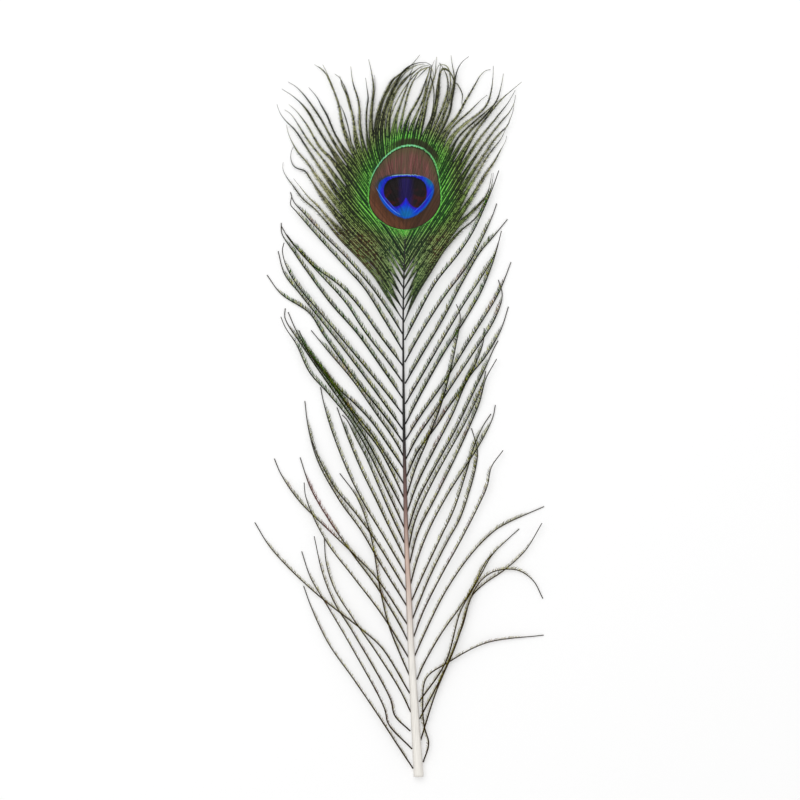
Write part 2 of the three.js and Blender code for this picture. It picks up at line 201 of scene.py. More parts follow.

# %% [markdown]
# ## Routes of the loose barbs
#
# Each loose barb is a route of a few given points, from the shaft to its tip, seen from above.
# The bends and kinks are what years of wear did to this feather, so they are written down one by one
# rather than worked out by a rule. A centripetal spline through the points keeps sharp knees sharp and
# never overshoots.

# %% Left and right routes, in millimetres
LEFT_BARBS = [
    [(5.5, -148.5), (0, -140.2), (-10, -124.8), (-20, -110.2), (-30, -96), (-37, -81.5), (-40.5, -72)],
    [(5, -140.3), (-4.8, -129.8), (-6.6, -123), (-20, -98), (-30, -81), (-37.5, -68.5), (-41.3, -57.5)],
    [(4.3, -132.8), (-2.2, -126.3), (-4, -119.5), (-20, -91), (-27.5, -79), (-32.5, -66.5), (-36, -51)],
    [(4.5, -124.8), (0, -115.5), (-10, -99.5), (-20, -85), (-27.5, -73), (-31, -62), (-31.8, -52)],
    [(4.1, -117), (-7.5, -98), (-15, -91), (-32.5, -77.3), (-45, -66), (-55, -55), (-61, -45.3)],
    [(4.1, -109.8), (0, -100.5), (-4.5, -89), (-8, -75), (-12.5, -50), (-18, -35), (-25.3, -24.7)],
    [(3.6, -102), (-7.5, -84), (-20, -67.5), (-30, -54.5), (-36.5, -42.5), (-39.6, -34), (-40.2, -28.5)],
    [(3.3, -95), (0, -88.5), (-10, -72), (-20, -58.5), (-30, -44), (-37.5, -31), (-42, -18)],
    [(3, -88), (-10, -68.5), (-20, -58), (-32.5, -46), (-42.5, -36), (-50, -25), (-52.8, -18.5)],
    [(2.8, -80.3), (-8, -63), (-16.4, -48.5), (-25.2, -36.3), (-34.5, -19.5), (-38.5, -5.5), (-40, 5.7)],
    [(2.6, -74), (-10.2, -53.1), (-18.2, -42), (-27.5, -30.5), (-34, -18.5), (-37, -11)],
    [(2.4, -67), (-7, -50.9), (-15.4, -36.8), (-22.5, -22.5), (-29.4, -4.4), (-32.3, 6), (-33.4, 11.5)],
    [(2.1, -60.6), (-5.1, -46.2), (-10, -36), (-16.8, -22), (-22.3, -8.6), (-26.5, 3)],
    [(1.8, -53.9), (-4.7, -40), (-9.7, -28.4), (-14.7, -17), (-18.5, -9.9), (-22.5, -2), (-24.3, -0.2)],
    [(1.7, -47.3), (-4.6, -33.8), (-12.6, -17), (-20.5, -3), (-30, 8.7), (-38, 17.8), (-43.5, 29.5),
     (-48, 36.4), (-50, 41)],
    [(1.6, -40.5), (-6, -26), (-14.3, -10.5), (-22.5, 2), (-31, 14), (-40.5, 28), (-48.3, 40.5),
     (-48.2, 44.6)],
    [(1.5, -34.7), (-2.9, -25.4), (-9.2, -13.7), (-17, -3.5), (-27, 10.5), (-37, 24), (-43.5, 35),
     (-47, 43)],
    [(1.5, -29), (-5.5, -17.9), (-12.6, -7.4), (-20.2, 1.9), (-30, 15.3), (-38.6, 27.4), (-42.5, 35.4)],
    [(1.5, -22.6), (-4.2, -14.2), (-12, -3), (-19, 4.5), (-27, 12), (-34, 20.5), (-38.5, 26)],
    [(1.4, -17.4), (-2.4, -10.7), (-10, 0.3), (-20.2, 14.8), (-30, 26.4), (-37.3, 35.3)],
    [(1.4, -11.8), (-6.3, -1), (-15.5, 10.5), (-25, 23.3), (-32.5, 34), (-38, 42.5), (-50, 50.7),
     (-55.9, 58.6)],
    [(1.3, -6.5), (-6.3, 4), (-14.7, 15.5), (-23.1, 26.7), (-31.5, 37.4), (-42, 50.6), (-48.5, 59),
     (-51.2, 68.6)],
    [(1.3, -0.1), (-5, 8), (-13.5, 18.5), (-23, 30), (-33, 42), (-44, 55.5), (-48, 63), (-49.3, 69),
     (-48.6, 72)],
    [(1.2, 6.7), (-8, 20), (-18, 34), (-29, 46.5), (-39, 60), (-44.5, 68), (-49.6, 76), (-49.9, 80.5)],
    [(1.2, 13.5), (-5, 22), (-15, 35), (-22.9, 47), (-33, 58.2), (-41, 67), (-46.5, 73.5), (-49.8, 79)],
    [(1.2, 20.4), (-8.4, 33), (-16.8, 44.8), (-25.2, 54), (-35.7, 61.8), (-41.5, 67.5), (-47.5, 75.5)],
    [(1.2, 26.8), (-6.8, 40), (-15, 53), (-23, 62), (-33, 73), (-44, 85.6), (-45.9, 88), (-45.5, 91)],
    [(1.2, 33.6), (-6, 45), (-12.5, 54), (-23, 66.2), (-32, 75.2), (-40, 84), (-44.7, 89.5), (-46, 93.4)],
]

RIGHT_BARBS = [
    [(9.7, -145.8), (12, -138), (10.2, -131), (9.5, -122), (11, -110.5), (20, -104), (36, -95.8),
     (60.3, -92.6)],
    [(8.6, -136.7), (15, -116.5), (23, -97.5), (31.5, -73), (37, -67), (43, -65), (50, -65.5), (56, -69.8),
     (60, -77.3)],
    [(8.2, -127.7), (17.8, -109), (26.3, -88.5), (30, -76.5), (35, -71.3), (44, -65), (52.5, -57),
     (59.5, -45.5)],
    [(8, -120.5), (19, -104), (25.3, -82.5), (30, -74), (34.5, -66), (38.5, -59), (45, -52.5), (50, -48)],
    [(7, -111.2), (10, -104.5), (17.5, -91.5), (25, -81), (30.3, -73), (36, -61.8), (40, -57.3)],
    [(6.1, -101.3), (10, -92.5), (17.5, -77), (25, -65), (32.5, -55.5), (40, -48.5), (45, -45.5),
     (60.5, -38.6)],
    [(5.7, -93.2), (10, -82), (17.5, -67), (25, -53.5), (32.5, -39), (36.5, -30), (38.3, -22), (43.2, -15)],
    [(5.2, -85.7), (12.5, -68), (20, -53), (25, -44), (29, -32.5), (31.8, -22), (32.5, -15), (30, -5.8)],
    [(4.9, -78), (10, -66.5), (17.5, -50.5), (22.5, -40), (28, -23.5), (31, -13.5), (35, -4.5),
     (38.2, 0.3)],
    [(4.4, -71), (7.5, -60), (12.5, -47.5), (20, -33.5), (27.5, -21.8), (34.8, -10), (39, -1), (40, 4)],
    [(4, -62.4), (7.5, -49.5), (15, -34.5), (22.5, -19.5), (29.2, -5), (33.3, 5), (36, 15), (40.5, 23.3)],
    [(3.6, -56), (6.3, -44.5), (12.5, -30.5), (20, -16.5), (26.5, -5), (31.5, 5), (35, 14), (36, 18.3)],
    [(3.3, -48.5), (7.5, -36), (15, -21.5), (24, -5), (31.2, 10), (36, 20), (39.5, 28), (41.2, 31)],
    [(3, -40.7), (7.5, -28.5), (15, -13.5), (22, 0), (28.6, 15), (36, 24.5), (42.3, 35.5), (45.5, 45.3)],
    [(2.8, -34), (6.5, -22.5), (12, -9.5), (17.5, 5), (20.5, 16), (23.3, 28.5), (25.2, 41.5), (23.6, 46.2)],
    [(2.6, -26.2), (7.5, -15.5), (15.1, -5), (20.7, 3.5), (27, 12.3), (32.8, 24), (35, 31), (35.3, 36.3)],
    [(2.5, -18.5), (7, -10), (14, 0.4), (20.3, 10), (30.2, 25), (39.7, 40), (42.9, 50), (41.3, 56.5)],
    [(2.3, -10.5), (9, 0), (19, 14.4), (28.6, 30), (34.9, 40), (41.4, 51), (46.6, 64)],
    [(2.2, -4), (9.5, 10), (17.9, 25), (27.4, 40), (34, 51.5), (39, 64), (41, 71), (42.5, 77)],
    [(2.2, 4.5), (8.4, 15), (17.1, 30), (26, 45), (34.2, 57.7), (39.4, 66.5), (41.2, 72)],
    [(2.1, 13), (9.1, 25), (18, 40), (26.5, 56), (33.5, 68), (39, 74.5), (45.1, 82)],
    [(2, 22), (9.3, 35), (19, 50), (28, 62), (34.3, 73.5), (38.8, 83.5), (40.6, 88.6)],
    [(1.9, 31.2), (6.5, 40), (15, 55.3), (25, 68), (30.8, 77), (36, 88.3), (39, 95.5), (41.4, 102.3)],
]
print(len(LEFT_BARBS), "loose barbs on the left,", len(RIGHT_BARBS), "on the right")

# %% [markdown]
# ## Guides of the fan
#
# Above the loose barbs the vane closes into the eye. Not every one of its hundred barbs needs a route of
# its own. About forty guides carry the shape of the fan and of the tangled crown, in order from its
# outer edge inwards on each side, and the barbs between two guides are blends of them.

# %% Fan guides, in millimetres
LEFT_GUIDES = [
    [(1.2, 39.6), (-5, 49), (-10, 57), (-13, 60.5), (-20, 68.5), (-27, 76), (-33, 83), (-36, 86.5),
     (-41, 91),
     (-45, 96), (-48, 100), (-49.2, 103), (-49, 106)],
    [(1.2, 44), (-4, 52.5), (-10, 61), (-16, 67.5), (-22, 73.5), (-29, 81), (-34, 87), (-38.5, 91),
     (-42, 95.5), (-44.5, 99)],
    [(1.3, 48.5), (-5, 59), (-12, 68), (-20, 76.5), (-27, 84), (-33, 92), (-37.5, 99), (-40, 102.3),
     (-42.5, 103), (-44.5, 104), (-45.8, 106.5), (-45.9, 109), (-45.2, 111.5), (-44.2, 112.8)],
    [(1.4, 53), (-5, 63), (-12, 72), (-20, 80.5), (-27, 88.5), (-33, 97), (-38.5, 105), (-43, 110),
     (-45.8, 115.5), (-47, 119), (-47.5, 121.5)],
    [(1.5, 57), (-4, 66), (-11, 75), (-19, 84), (-26, 92.5), (-32, 101), (-38, 110.5), (-44, 119),
     (-47.5, 122.5), (-49.5, 125), (-50.7, 127.5), (-51.5, 130.3)],
    [(1.6, 60.5), (-4, 69.5), (-11, 79), (-18.5, 88), (-25, 97), (-31, 105), (-37, 113), (-40, 117.5),
     (-43, 122), (-46, 126), (-48.5, 127.8)],
    [(1.7, 64), (-4, 73), (-10.5, 82), (-17.5, 91), (-23.5, 99), (-29, 107), (-33.5, 112), (-38, 119.5),
     (-41, 124), (-44, 128), (-46.5, 130.2)],
    [(1.8, 67), (-3.5, 75.5), (-10, 84.5), (-16.5, 93), (-22, 101), (-27.5, 109), (-31, 114.5),
     (-35.5, 121.5), (-38, 126), (-41, 130), (-45, 133.7), (-49.5, 136.5)],
    [(1.8, 69.8), (-3.5, 78), (-9.5, 86.5), (-15.5, 95), (-20.5, 102.5), (-25, 109.5), (-28.5, 115.5),
     (-32.5, 122.5), (-35, 126.5), (-37.5, 130.5), (-40, 134), (-43.5, 137.5), (-47, 139.5)],
    [(1.9, 72.2), (-3, 80), (-8.5, 88.5), (-14, 97), (-18.5, 104), (-22.5, 109.5), (-26.5, 116),
     (-30.5, 125.5), (-33, 129.5), (-35, 133), (-38.3, 137.3)],
    [(1.9, 74.4), (-2.8, 82), (-7.8, 90.5), (-13, 98.5), (-17, 105), (-20.5, 112), (-23, 118.5),
     (-24.7, 124.5), (-25.5, 129), (-26.7, 133.3), (-28.3, 137.8), (-30.2, 142), (-32.5, 146.5)],
    [(2, 76.4), (-2.4, 83.5), (-7, 91.5), (-11.8, 99.5), (-15.5, 107), (-18, 114), (-19.3, 122),
     (-20.5, 128), (-21.5, 132), (-22.5, 135.5), (-24, 139), (-25.5, 141.3), (-27.5, 142.8)],
    [(2, 78.2), (-2, 85), (-6.2, 92.5), (-10.5, 100.5), (-13.8, 108), (-15.8, 115), (-17, 122), (-17, 128),
     (-17.8, 133.5), (-19.5, 138.5), (-20.3, 142), (-20.8, 146)],
    [(2, 79.8), (-1.7, 86), (-5.6, 93.5), (-9.3, 101), (-12, 108.5), (-13.7, 116), (-14.2, 122),
     (-13.8, 128), (-13.3, 132.5), (-14, 137), (-14.5, 141)],
    [(2, 81.2), (-1.4, 87.5), (-5, 94.5), (-8.3, 102), (-10.8, 109), (-12.3, 116), (-12.3, 124),
     (-11.8, 131), (-11.2, 136), (-11.3, 140), (-12, 144.5), (-13.2, 149)],
    [(2, 82.6), (-1.1, 89), (-4.2, 95.5), (-7.2, 102.5), (-9.3, 109.5), (-10.3, 116), (-10, 122),
     (-8.5, 129), (-6.3, 134.5), (-3.5, 139.8), (0, 142.8), (3, 145), (6, 148), (8.4, 151)],
    [(2, 84), (-0.8, 90.3), (-3.5, 96.5), (-5.8, 103), (-7.3, 110), (-7.9, 117), (-7.3, 123),
     (-5.6, 129.5), (-3.5, 135), (-1, 140), (2.5, 145), (7, 147.2), (11, 147.3), (13, 146.2)],
    [(2, 85.3), (-0.5, 91.5), (-2.7, 97.8), (-4.3, 104), (-5.3, 111), (-5.7, 117), (-5.4, 123),
     (-3.9, 129.5), (-1.8, 135), (1.3, 140), (5, 143), (9, 146), (12.5, 146.8)],
    [(2, 86.5), (-0.1, 93), (-1.7, 99.2), (-2.7, 105.5), (-3, 112), (-2.5, 118), (-1.5, 124), (0.3, 130),
     (2, 135), (3.5, 139), (5, 142.5), (7, 144.5)],
    [(2, 87.6), (0.3, 94), (-0.7, 100.5), (-1.2, 107), (-1.1, 113), (-0.5, 119), (0.9, 125), (2.4, 130.5),
     (3.6, 135), (4.9, 138.5), (6.8, 142), (9.4, 145.6)],
    [(2, 88.6), (0.7, 95), (0.3, 102), (0.4, 108), (0.9, 114), (2, 120), (4, 125.5), (6.5, 130),
     (8.8, 134.5), (10.5, 139), (11.8, 143), (12.8, 146.5)],
]

MIDDLE_GUIDE = [(2, 90), (1.9, 98), (2.3, 106), (3, 113), (4.5, 120), (7, 126), (9.2, 131), (11, 136),
                (12.5, 141), (13, 146)]

RIGHT_GUIDES = [
    [(1.5, 38.5), (6.8, 50), (12, 58.5), (18, 68), (22, 73), (26, 77.5), (30, 80.8), (33, 84),
     (35.5, 88.5), (37.5, 93), (38.7, 98), (39.1, 101.4)],
    [(1.5, 43.7), (6, 53), (10, 59), (16, 67.5), (21, 74.5), (25, 79.5), (29, 83.5), (32.5, 87),
     (35.5, 90.5), (37, 94), (38, 98), (38.6, 101.2)],
    [(1.5, 48), (10, 62), (18, 73), (24, 81.5), (29, 89), (33, 96), (36, 101), (39.5, 106), (42, 110.5),
     (44.3, 115), (44.6, 116.8)],
    [(1.5, 52.5), (6, 60), (12, 69), (18, 77.5), (24, 86), (28.5, 94), (33, 102), (36.5, 108),
     (39.5, 112), (42.3, 115.5), (43.8, 118.5), (44.8, 121.5)],
    [(1.6, 56.5), (6.5, 64.5), (12, 73), (17.5, 81), (23, 89.5), (27.5, 97), (32, 104), (36, 110),
     (39, 114.5), (42.3, 118.3), (45, 121), (46.3, 124), (47.4, 127), (47.8, 130.5)],
    [(1.7, 60), (6.2, 68), (11.5, 76), (17, 84.5), (22, 92.5), (26.5, 100), (31, 107), (35, 113),
     (39, 118.5), (43, 123.5), (46, 127), (48, 131), (48.4, 134)],
    [(1.8, 63.3), (6, 71), (11, 79), (16.2, 87.5), (21, 95.5), (25.5, 103), (30, 110.5), (34, 116.5),
     (38, 121.5), (42, 126.5), (45.5, 131), (48.3, 136)],
    [(1.8, 66.2), (5.8, 73.5), (10.5, 81.5), (15.5, 90), (20, 98), (24.2, 105.5), (28.5, 113), (32, 119),
     (35.5, 123.5), (39, 128), (43.5, 133), (47, 136), (49.3, 138), (51, 139.4)],
    [(1.9, 69), (5.5, 76), (10, 84), (14.5, 92.5), (18.8, 100.5), (22.5, 107.5), (26.5, 114.5),
     (30.5, 120), (34.5, 124), (38, 128), (41, 132.5), (42.5, 138), (43.3, 143)],
    [(1.9, 71.5), (5.3, 78.5), (9.4, 86), (13.6, 94.5), (17.5, 102.5), (20.8, 109.5), (24, 115.5),
     (28, 120), (32, 123.5), (36, 127), (39.3, 130), (42.6, 132.8)],
    [(2, 73.7), (5, 80.5), (8.8, 88), (12.7, 96.5), (16.2, 104.5), (19.2, 111.5), (22.5, 117.5),
     (27, 121.8), (31.5, 125), (35, 128), (37.2, 131.5), (38.4, 136), (38.9, 141), (39, 146)],
    [(2, 75.7), (4.8, 82.5), (8.2, 90), (11.8, 98.5), (15, 106.5), (17.8, 113.5), (20.8, 119),
     (24.5, 123), (28.5, 126.5), (31.5, 129.5), (34, 132), (36.5, 134)],
    [(2, 77.5), (4.5, 84.3), (7.6, 92), (10.9, 100.5), (14, 108.5), (17, 115.5), (20.5, 120.5),
     (23.8, 124.5), (26.5, 129.5), (29, 134), (31.5, 138.5), (33.5, 142), (36, 144.3), (38, 144.8)],
    [(2, 79.2), (4.2, 86), (7, 93.5), (10, 102), (13, 110), (16, 116.5), (18.7, 121.5), (21, 127),
     (22, 132.5), (22.7, 137), (23.2, 141.5), (24.3, 145), (26.3, 148), (29, 150.2)],
    [(2, 80.8), (4, 87.5), (6.4, 95), (9.2, 103.5), (12, 111), (14.7, 117), (17.3, 122.5), (19.5, 128),
     (21.3, 133.5), (22.3, 138), (22.6, 142), (22, 146), (21.5, 150.8)],
    [(2, 82.2), (3.7, 89), (5.9, 96.5), (8.4, 104.5), (10.9, 112), (13.3, 118), (15.7, 123.5),
     (18, 129), (19.8, 134.5), (20.3, 139), (19.3, 143), (17.5, 146), (16.3, 147.5)],
    [(2, 83.6), (3.5, 90.3), (5.4, 97.5), (7.6, 105.5), (9.9, 113), (12, 119), (14, 125), (15.5, 131),
     (16.2, 136.5), (16.5, 141), (18, 145.2), (20.3, 144.5), (22, 142), (22.8, 139)],
    [(2, 84.9), (3.2, 91.5), (4.9, 98.8), (6.9, 106.5), (9.2, 114), (11.7, 120), (13.7, 126),
     (15, 132), (15.8, 138), (16.4, 143), (17, 147.2)],
    [(2, 86.1), (3, 92.7), (4.4, 100), (6, 107.5), (7.5, 115), (8.9, 121), (10.3, 127), (11.7, 133),
     (13.4, 138.5), (14.9, 143), (15.1, 148), (15.3, 150)],
    [(2, 87.3), (2.8, 93.8), (3.9, 101), (5.2, 108.5), (6.5, 115.5), (7.7, 121.5), (9.2, 127.5),
     (10.6, 133), (12, 138.5), (13, 143), (13.2, 146.5)],
]
print(len(LEFT_GUIDES), "guides on the left and", len(RIGHT_GUIDES), "on the right of the middle one")

# %% [markdown]
# ## From a few points to a smooth route
#
# A route needs to be smooth and evenly stepped, because the fringe grows at even steps along it. The
# helper below draws a centripetal spline through the chosen points and then walks along it with a fixed
# number of equal steps. Each barb also gets a share, 0 at the shaft and 1 at its tip, which later sets
# its thickness, the length of its fringe and its colour.

# %% Spline helper
SPLINE_STEPS = 24


def spline_through(points):
    control = np.array(points, float)
    control = np.vstack([2 * control[0] - control[1], control, 2 * control[-1] - control[-2]])
    pieces = []
    for start in range(1, len(control) - 2):
        p0, p1, p2, p3 = control[start - 1:start + 3]
        t0 = 0.0
        t1 = t0 + np.sqrt(np.linalg.norm(p1 - p0))
        t2 = t1 + np.sqrt(np.linalg.norm(p2 - p1))
        t3 = t2 + np.sqrt(np.linalg.norm(p3 - p2))
        t = np.linspace(t1, t2, SPLINE_STEPS, endpoint=False)[:, None]
        a1 = (t1 - t) / (t1 - t0) * p0 + (t - t0) / (t1 - t0) * p1
        a2 = (t2 - t) / (t2 - t1) * p1 + (t - t1) / (t2 - t1) * p2
        a3 = (t3 - t) / (t3 - t2) * p2 + (t - t2) / (t3 - t2) * p3
        b1 = (t2 - t) / (t2 - t0) * a1 + (t - t0) / (t2 - t0) * a2
        b2 = (t3 - t) / (t3 - t1) * a2 + (t - t1) / (t3 - t1) * a3
        pieces.append((t2 - t) / (t2 - t1) * b1 + (t - t1) / (t2 - t1) * b2)
    pieces.append(control[-2][None, :])
    return np.vstack(pieces)


def even_route(points, count):
    dense = spline_through(points)
    lengths = np.concatenate([[0.0], np.cumsum(np.linalg.norm(np.diff(dense, axis=0), axis=1))])
    wanted = np.linspace(0.0, lengths[-1], count)
    return np.column_stack([np.interp(wanted, lengths, dense[:, axis]) for axis in range(2)])


def route_length(points):
    return float(np.linalg.norm(np.diff(np.array(points), axis=0), axis=1).sum())


print("the first barb is", round(route_length(even_route(LEFT_BARBS[0], 60)), 1), "mm long")

# %% [markdown]
# ## Loose barbs as data
#
# A barb is kept as a small record: its points in space, and for each point the radius of its stem and
# the length of its fringe on either side. The fringe is long on the side that looks to the eye of the
# feather and short on the other, and lower on the feather it is worn shorter and thinner. It starts just
# off the shaft and runs out before the tip, which is left as a bare thin end. A tone drawn by chance
# makes one barb browner than the next.

# %% Loose barbs
STEP = 1.2                           # distance between points along a route
STEM_ROOT_RADIUS = 0.34
STEM_TIP_RADIUS = 0.2
FAR_FRINGE_LOW = 0.9                 # fringe length on the side of the eye, low on the feather
FAR_FRINGE_HIGH = 1.45               # and just under the eye
NEAR_FRINGE = 0.42
FRINGE_START, FRINGE_FULL = 0.01, 0.07      # shares of the barb over which the fringe grows
FRINGE_FADING, FRINGE_BARE = 0.84, 0.97     # and over which it runs out
FRINGE_SOLID_Y = 20.0                # from here up the fringe is full
FRINGE_THIN_Y = -110.0               # from here down it is worn thin
FULLNESS_LOW = 0.8                   # share of the blades that are left where it is worn
FULLNESS_GAIN = 0.2
STEM_TAPER = 1.2
random = np.random.default_rng(7)


def fringe_profile(shares):
    growing = smooth((shares - FRINGE_START) / (FRINGE_FULL - FRINGE_START))
    return growing * smooth((FRINGE_BARE - shares) / (FRINGE_BARE - FRINGE_FADING))


def loose_barb(points, index, side):
    count = int(route_length(points) / STEP)
    plan = even_route(points, count)
    shares = np.linspace(0.0, 1.0, count)
    heights = barb_heights(points[0][1], shares, loose_arch(index), loose_curl(index))
    height_share = smooth((plan[:, 1] - FRINGE_THIN_Y) / (FRINGE_SOLID_Y - FRINGE_THIN_Y))
    profile = fringe_profile(shares)
    far = (FAR_FRINGE_LOW + (FAR_FRINGE_HIGH - FAR_FRINGE_LOW) * height_share) * profile
    return {
        "points": np.column_stack([plan, heights]),
        "stem_radius": STEM_ROOT_RADIUS + (STEM_TIP_RADIUS - STEM_ROOT_RADIUS) * shares ** STEM_TAPER,
        "vane_half_width": np.zeros(count),
        "far_fringe": far,
        "near_fringe": NEAR_FRINGE * profile,
        "fullness": FULLNESS_LOW + FULLNESS_GAIN * height_share,
        "along": shares,
        "tone": np.full(count, random.random()),
        "side": side,
    }


left_loose = [loose_barb(points, index, -1) for index, points in enumerate(LEFT_BARBS)]
right_loose = [loose_barb(points, index, 1) for index, points in enumerate(RIGHT_BARBS)]
print("points on the loose barbs:", sum(len(barb["points"]) for barb in left_loose + right_loose))

# %% [markdown]
# ## The barbs of the fan
#
# In-between barbs blend the two guides beside them. Past the closed web they drift to the nearer guide,
# as wet or worn barbs cling together, so the fan ends in locks with gaps between them. Some neighbouring
# guides of the crown keep the barbs between them spread, as one thick lock. The lowest barbs of the fan
# also cling to their guides near the shaft, so gaps open there. Each barb carries a narrow vane, wide
# enough to meet its neighbours inside the web and thinner beyond it.
#
# A few worn strays hang about in the crown. They are thin, lie among the others and don't reach the shaft.

# %% Fan barbs
FAN_POINTS = 76
FLANK_SPACING = 1.3                  # widest distance between barbs in the flanks of the fan
CROWN_SPACING = 1.05                 # and among those that cross the eye
FLANK_GUIDES = 8                     # so many guides from the outer edge belong to the flank
WEB_SHARE = 0.56                     # share of a fan barb that is closed into the web
CLING_START = 0.42                   # from here a barb drifts to its nearer guide
CLING_END = 0.76
ROOT_CLING_SHARE = 0.19              # the lowest fan barbs also cling near the shaft, up to here
CLING = 0.86
CLOSED_LOCK_CLING = 0.25             # in a thick lock barbs drift only this far
LEFT_CLOSED_LOCKS = (15, 16)         # counted by the outer guide of the pair
RIGHT_CLOSED_LOCKS = (14, 18, 19)
OPEN_GUIDES = 2                      # up to this guide the roots of the fan barbs stand open
OPEN_FADE = 5                        # and over so many more guides they close
OPEN_ROOT_SHARE = 0.2                # share of a barb that its open root takes up
VANE_OVERLAP = 0.62                  # half a vane's width, as a share of the distance between barbs
VANE_OPEN_HALF_WIDTH = 0.24
VANE_LEAST_HALF_WIDTH = 0.25
VANE_MOST_HALF_WIDTH = 1.5
GUIDE_VANE_FACTOR = 1.5              # beyond the web a guide is this much wider than the rest
OPENING_START = 0.4                  # vanes turn from closed to open between these two shares
OPENING_END = WEB_SHARE + 0.12
LEAST_LENGTH_SHARE = 0.62            # an in-between barb may end anywhere between these two shares
MOST_LENGTH_SHARE = 0.96
TIP_SHARE = 0.22                     # share of a barb over which it thins to its tip
TIP_VANE_SHARE = 0.25                # and how wide its vane still is there
WAVER = 0.12
WAVER_TURN = 22                      # radians of waver from shaft to tip
WAVER_PHASE = 6                      # it may start anywhere up to this
HEIGHT_JITTER = 0.12
FAN_FRINGE = 0.85
FAN_STEM_RADIUS = 0.12
FAN_FULLNESS = 0.9
STRAY_START_HEIGHT = 1.5
STRAY_RISE = 0.7
STRAY_FALL = 0.6
STRAY_FRINGE = 0.45
STRAY_THINNING = 0.3                 # share of a stray over which it thins to its tip
STRAY_ALONG = 0.6                    # it is painted as the part of a barb past this share
LEFT_STRAYS = [
    [(-28.4, 136.5), (-30.5, 142.0), (-32.8, 144.8), (-36.0, 146.9)],
    [(-20.9, 127.5), (-22.4, 133.5), (-24.4, 138.5), (-25.3, 142.3)],
    [(-20.0, 112.0), (-21.0, 117.0), (-22.0, 121.5), (-23.5, 126.5), (-25.0, 130.0)],
    [(-8.0, 119.0), (-6.5, 127.0), (-2.5, 134.5), (2.5, 140.5), (5.0, 144.5), (6.2, 148.6)],
    [(-5.0, 121.0), (-2.0, 130.0), (3.0, 138.5), (8.5, 144.3), (12.6, 145.6), (14.0, 143.2), (13.4, 139.5)],
    [(-9.5, 124.0), (-7.0, 131.5), (-3.0, 138.5), (1.5, 143.5), (6.5, 146.5), (10.5, 146.8)],
]
RIGHT_STRAYS = [
    [(21.0, 128.0), (21.8, 134.0), (23.5, 139.0), (25.0, 137.0), (26.2, 134.0), (26.0, 130.0),
     (27.0, 128.5)],
    [(9.0, 121.0), (9.8, 130.0), (11.0, 139.0), (12.4, 146.0), (9.6, 143.6), (7.0, 141.0), (4.5, 139.3)],
    [(14.0, 120.0), (15.5, 130.0), (15.8, 138.0), (17.5, 144.5), (20.5, 144.0), (22.6, 139.6),
     (22.4, 134.0)],
    [(17.5, 119.0), (18.6, 127.0), (20.4, 134.0), (21.2, 140.5), (19.6, 146.2), (16.4, 146.6),
     (15.0, 143.0)],
    [(11.5, 119.0), (13.6, 127.0), (14.2, 136.0), (12.8, 143.5), (14.4, 148.6)],
]


def guide_space(points, index):
    plan = even_route(points, FAN_POINTS)
    shares = np.linspace(0.0, 1.0, FAN_POINTS)
    heights = barb_heights(points[0][1], shares, FAN_ARCH, fan_curl(index))
    return np.column_stack([plan, heights])


def root_openness(index):
    return 1.0 - smooth((index - OPEN_GUIDES) / OPEN_FADE)


def between(first, second, blend, openness, cling):
    shares = np.linspace(0.0, 1.0, FAN_POINTS)
    nearer = np.round(blend)
    drift = cling * smooth((shares - CLING_START) / (CLING_END - CLING_START))
    drift = np.maximum(drift, openness * (1 - smooth(shares / ROOT_CLING_SHARE)))
    share = (blend + (nearer - blend) * drift)[:, None]
    return first * (1 - share) + second * share


def shortened(points, length_share):
    count = int(FAN_POINTS * length_share)
    wanted = np.linspace(0.0, length_share * (FAN_POINTS - 1), count)
    steps = np.arange(FAN_POINTS)
    route = np.column_stack([np.interp(wanted, steps, points[:, axis]) for axis in range(3)])
    return route, wanted / (FAN_POINTS - 1)


def fan_barbs(guides, side, closed_locks):
    spaces = [guide_space(points, index) for index, points in enumerate(guides)]
    barbs = []
    web_points = int(FAN_POINTS * WEB_SHARE)
    for index, (first, second) in enumerate(zip(spaces, spaces[1:])):
        apart = np.linalg.norm((first - second)[:, :2], axis=1)
        spacing = FLANK_SPACING if index < FLANK_GUIDES else CROWN_SPACING
        steps = max(1, int(round(apart[:web_points].max() / spacing)))
        openness = root_openness(index)
        cling = CLOSED_LOCK_CLING if index in closed_locks else CLING
        for step in range(steps):
            route = between(first, second, step / steps, openness, cling)
            # Light and dark barbs take turns, so that no broad patch has one tone.
            tone = 0.5 * (len(barbs) % 2) + 0.5 * random.random()
            barbs.append(fan_barb(route, apart / steps, step == 0, openness, side, tone))
    barbs.append(fan_barb(spaces[-1], apart / steps, True, 0.0, side, 0.5))
    return barbs


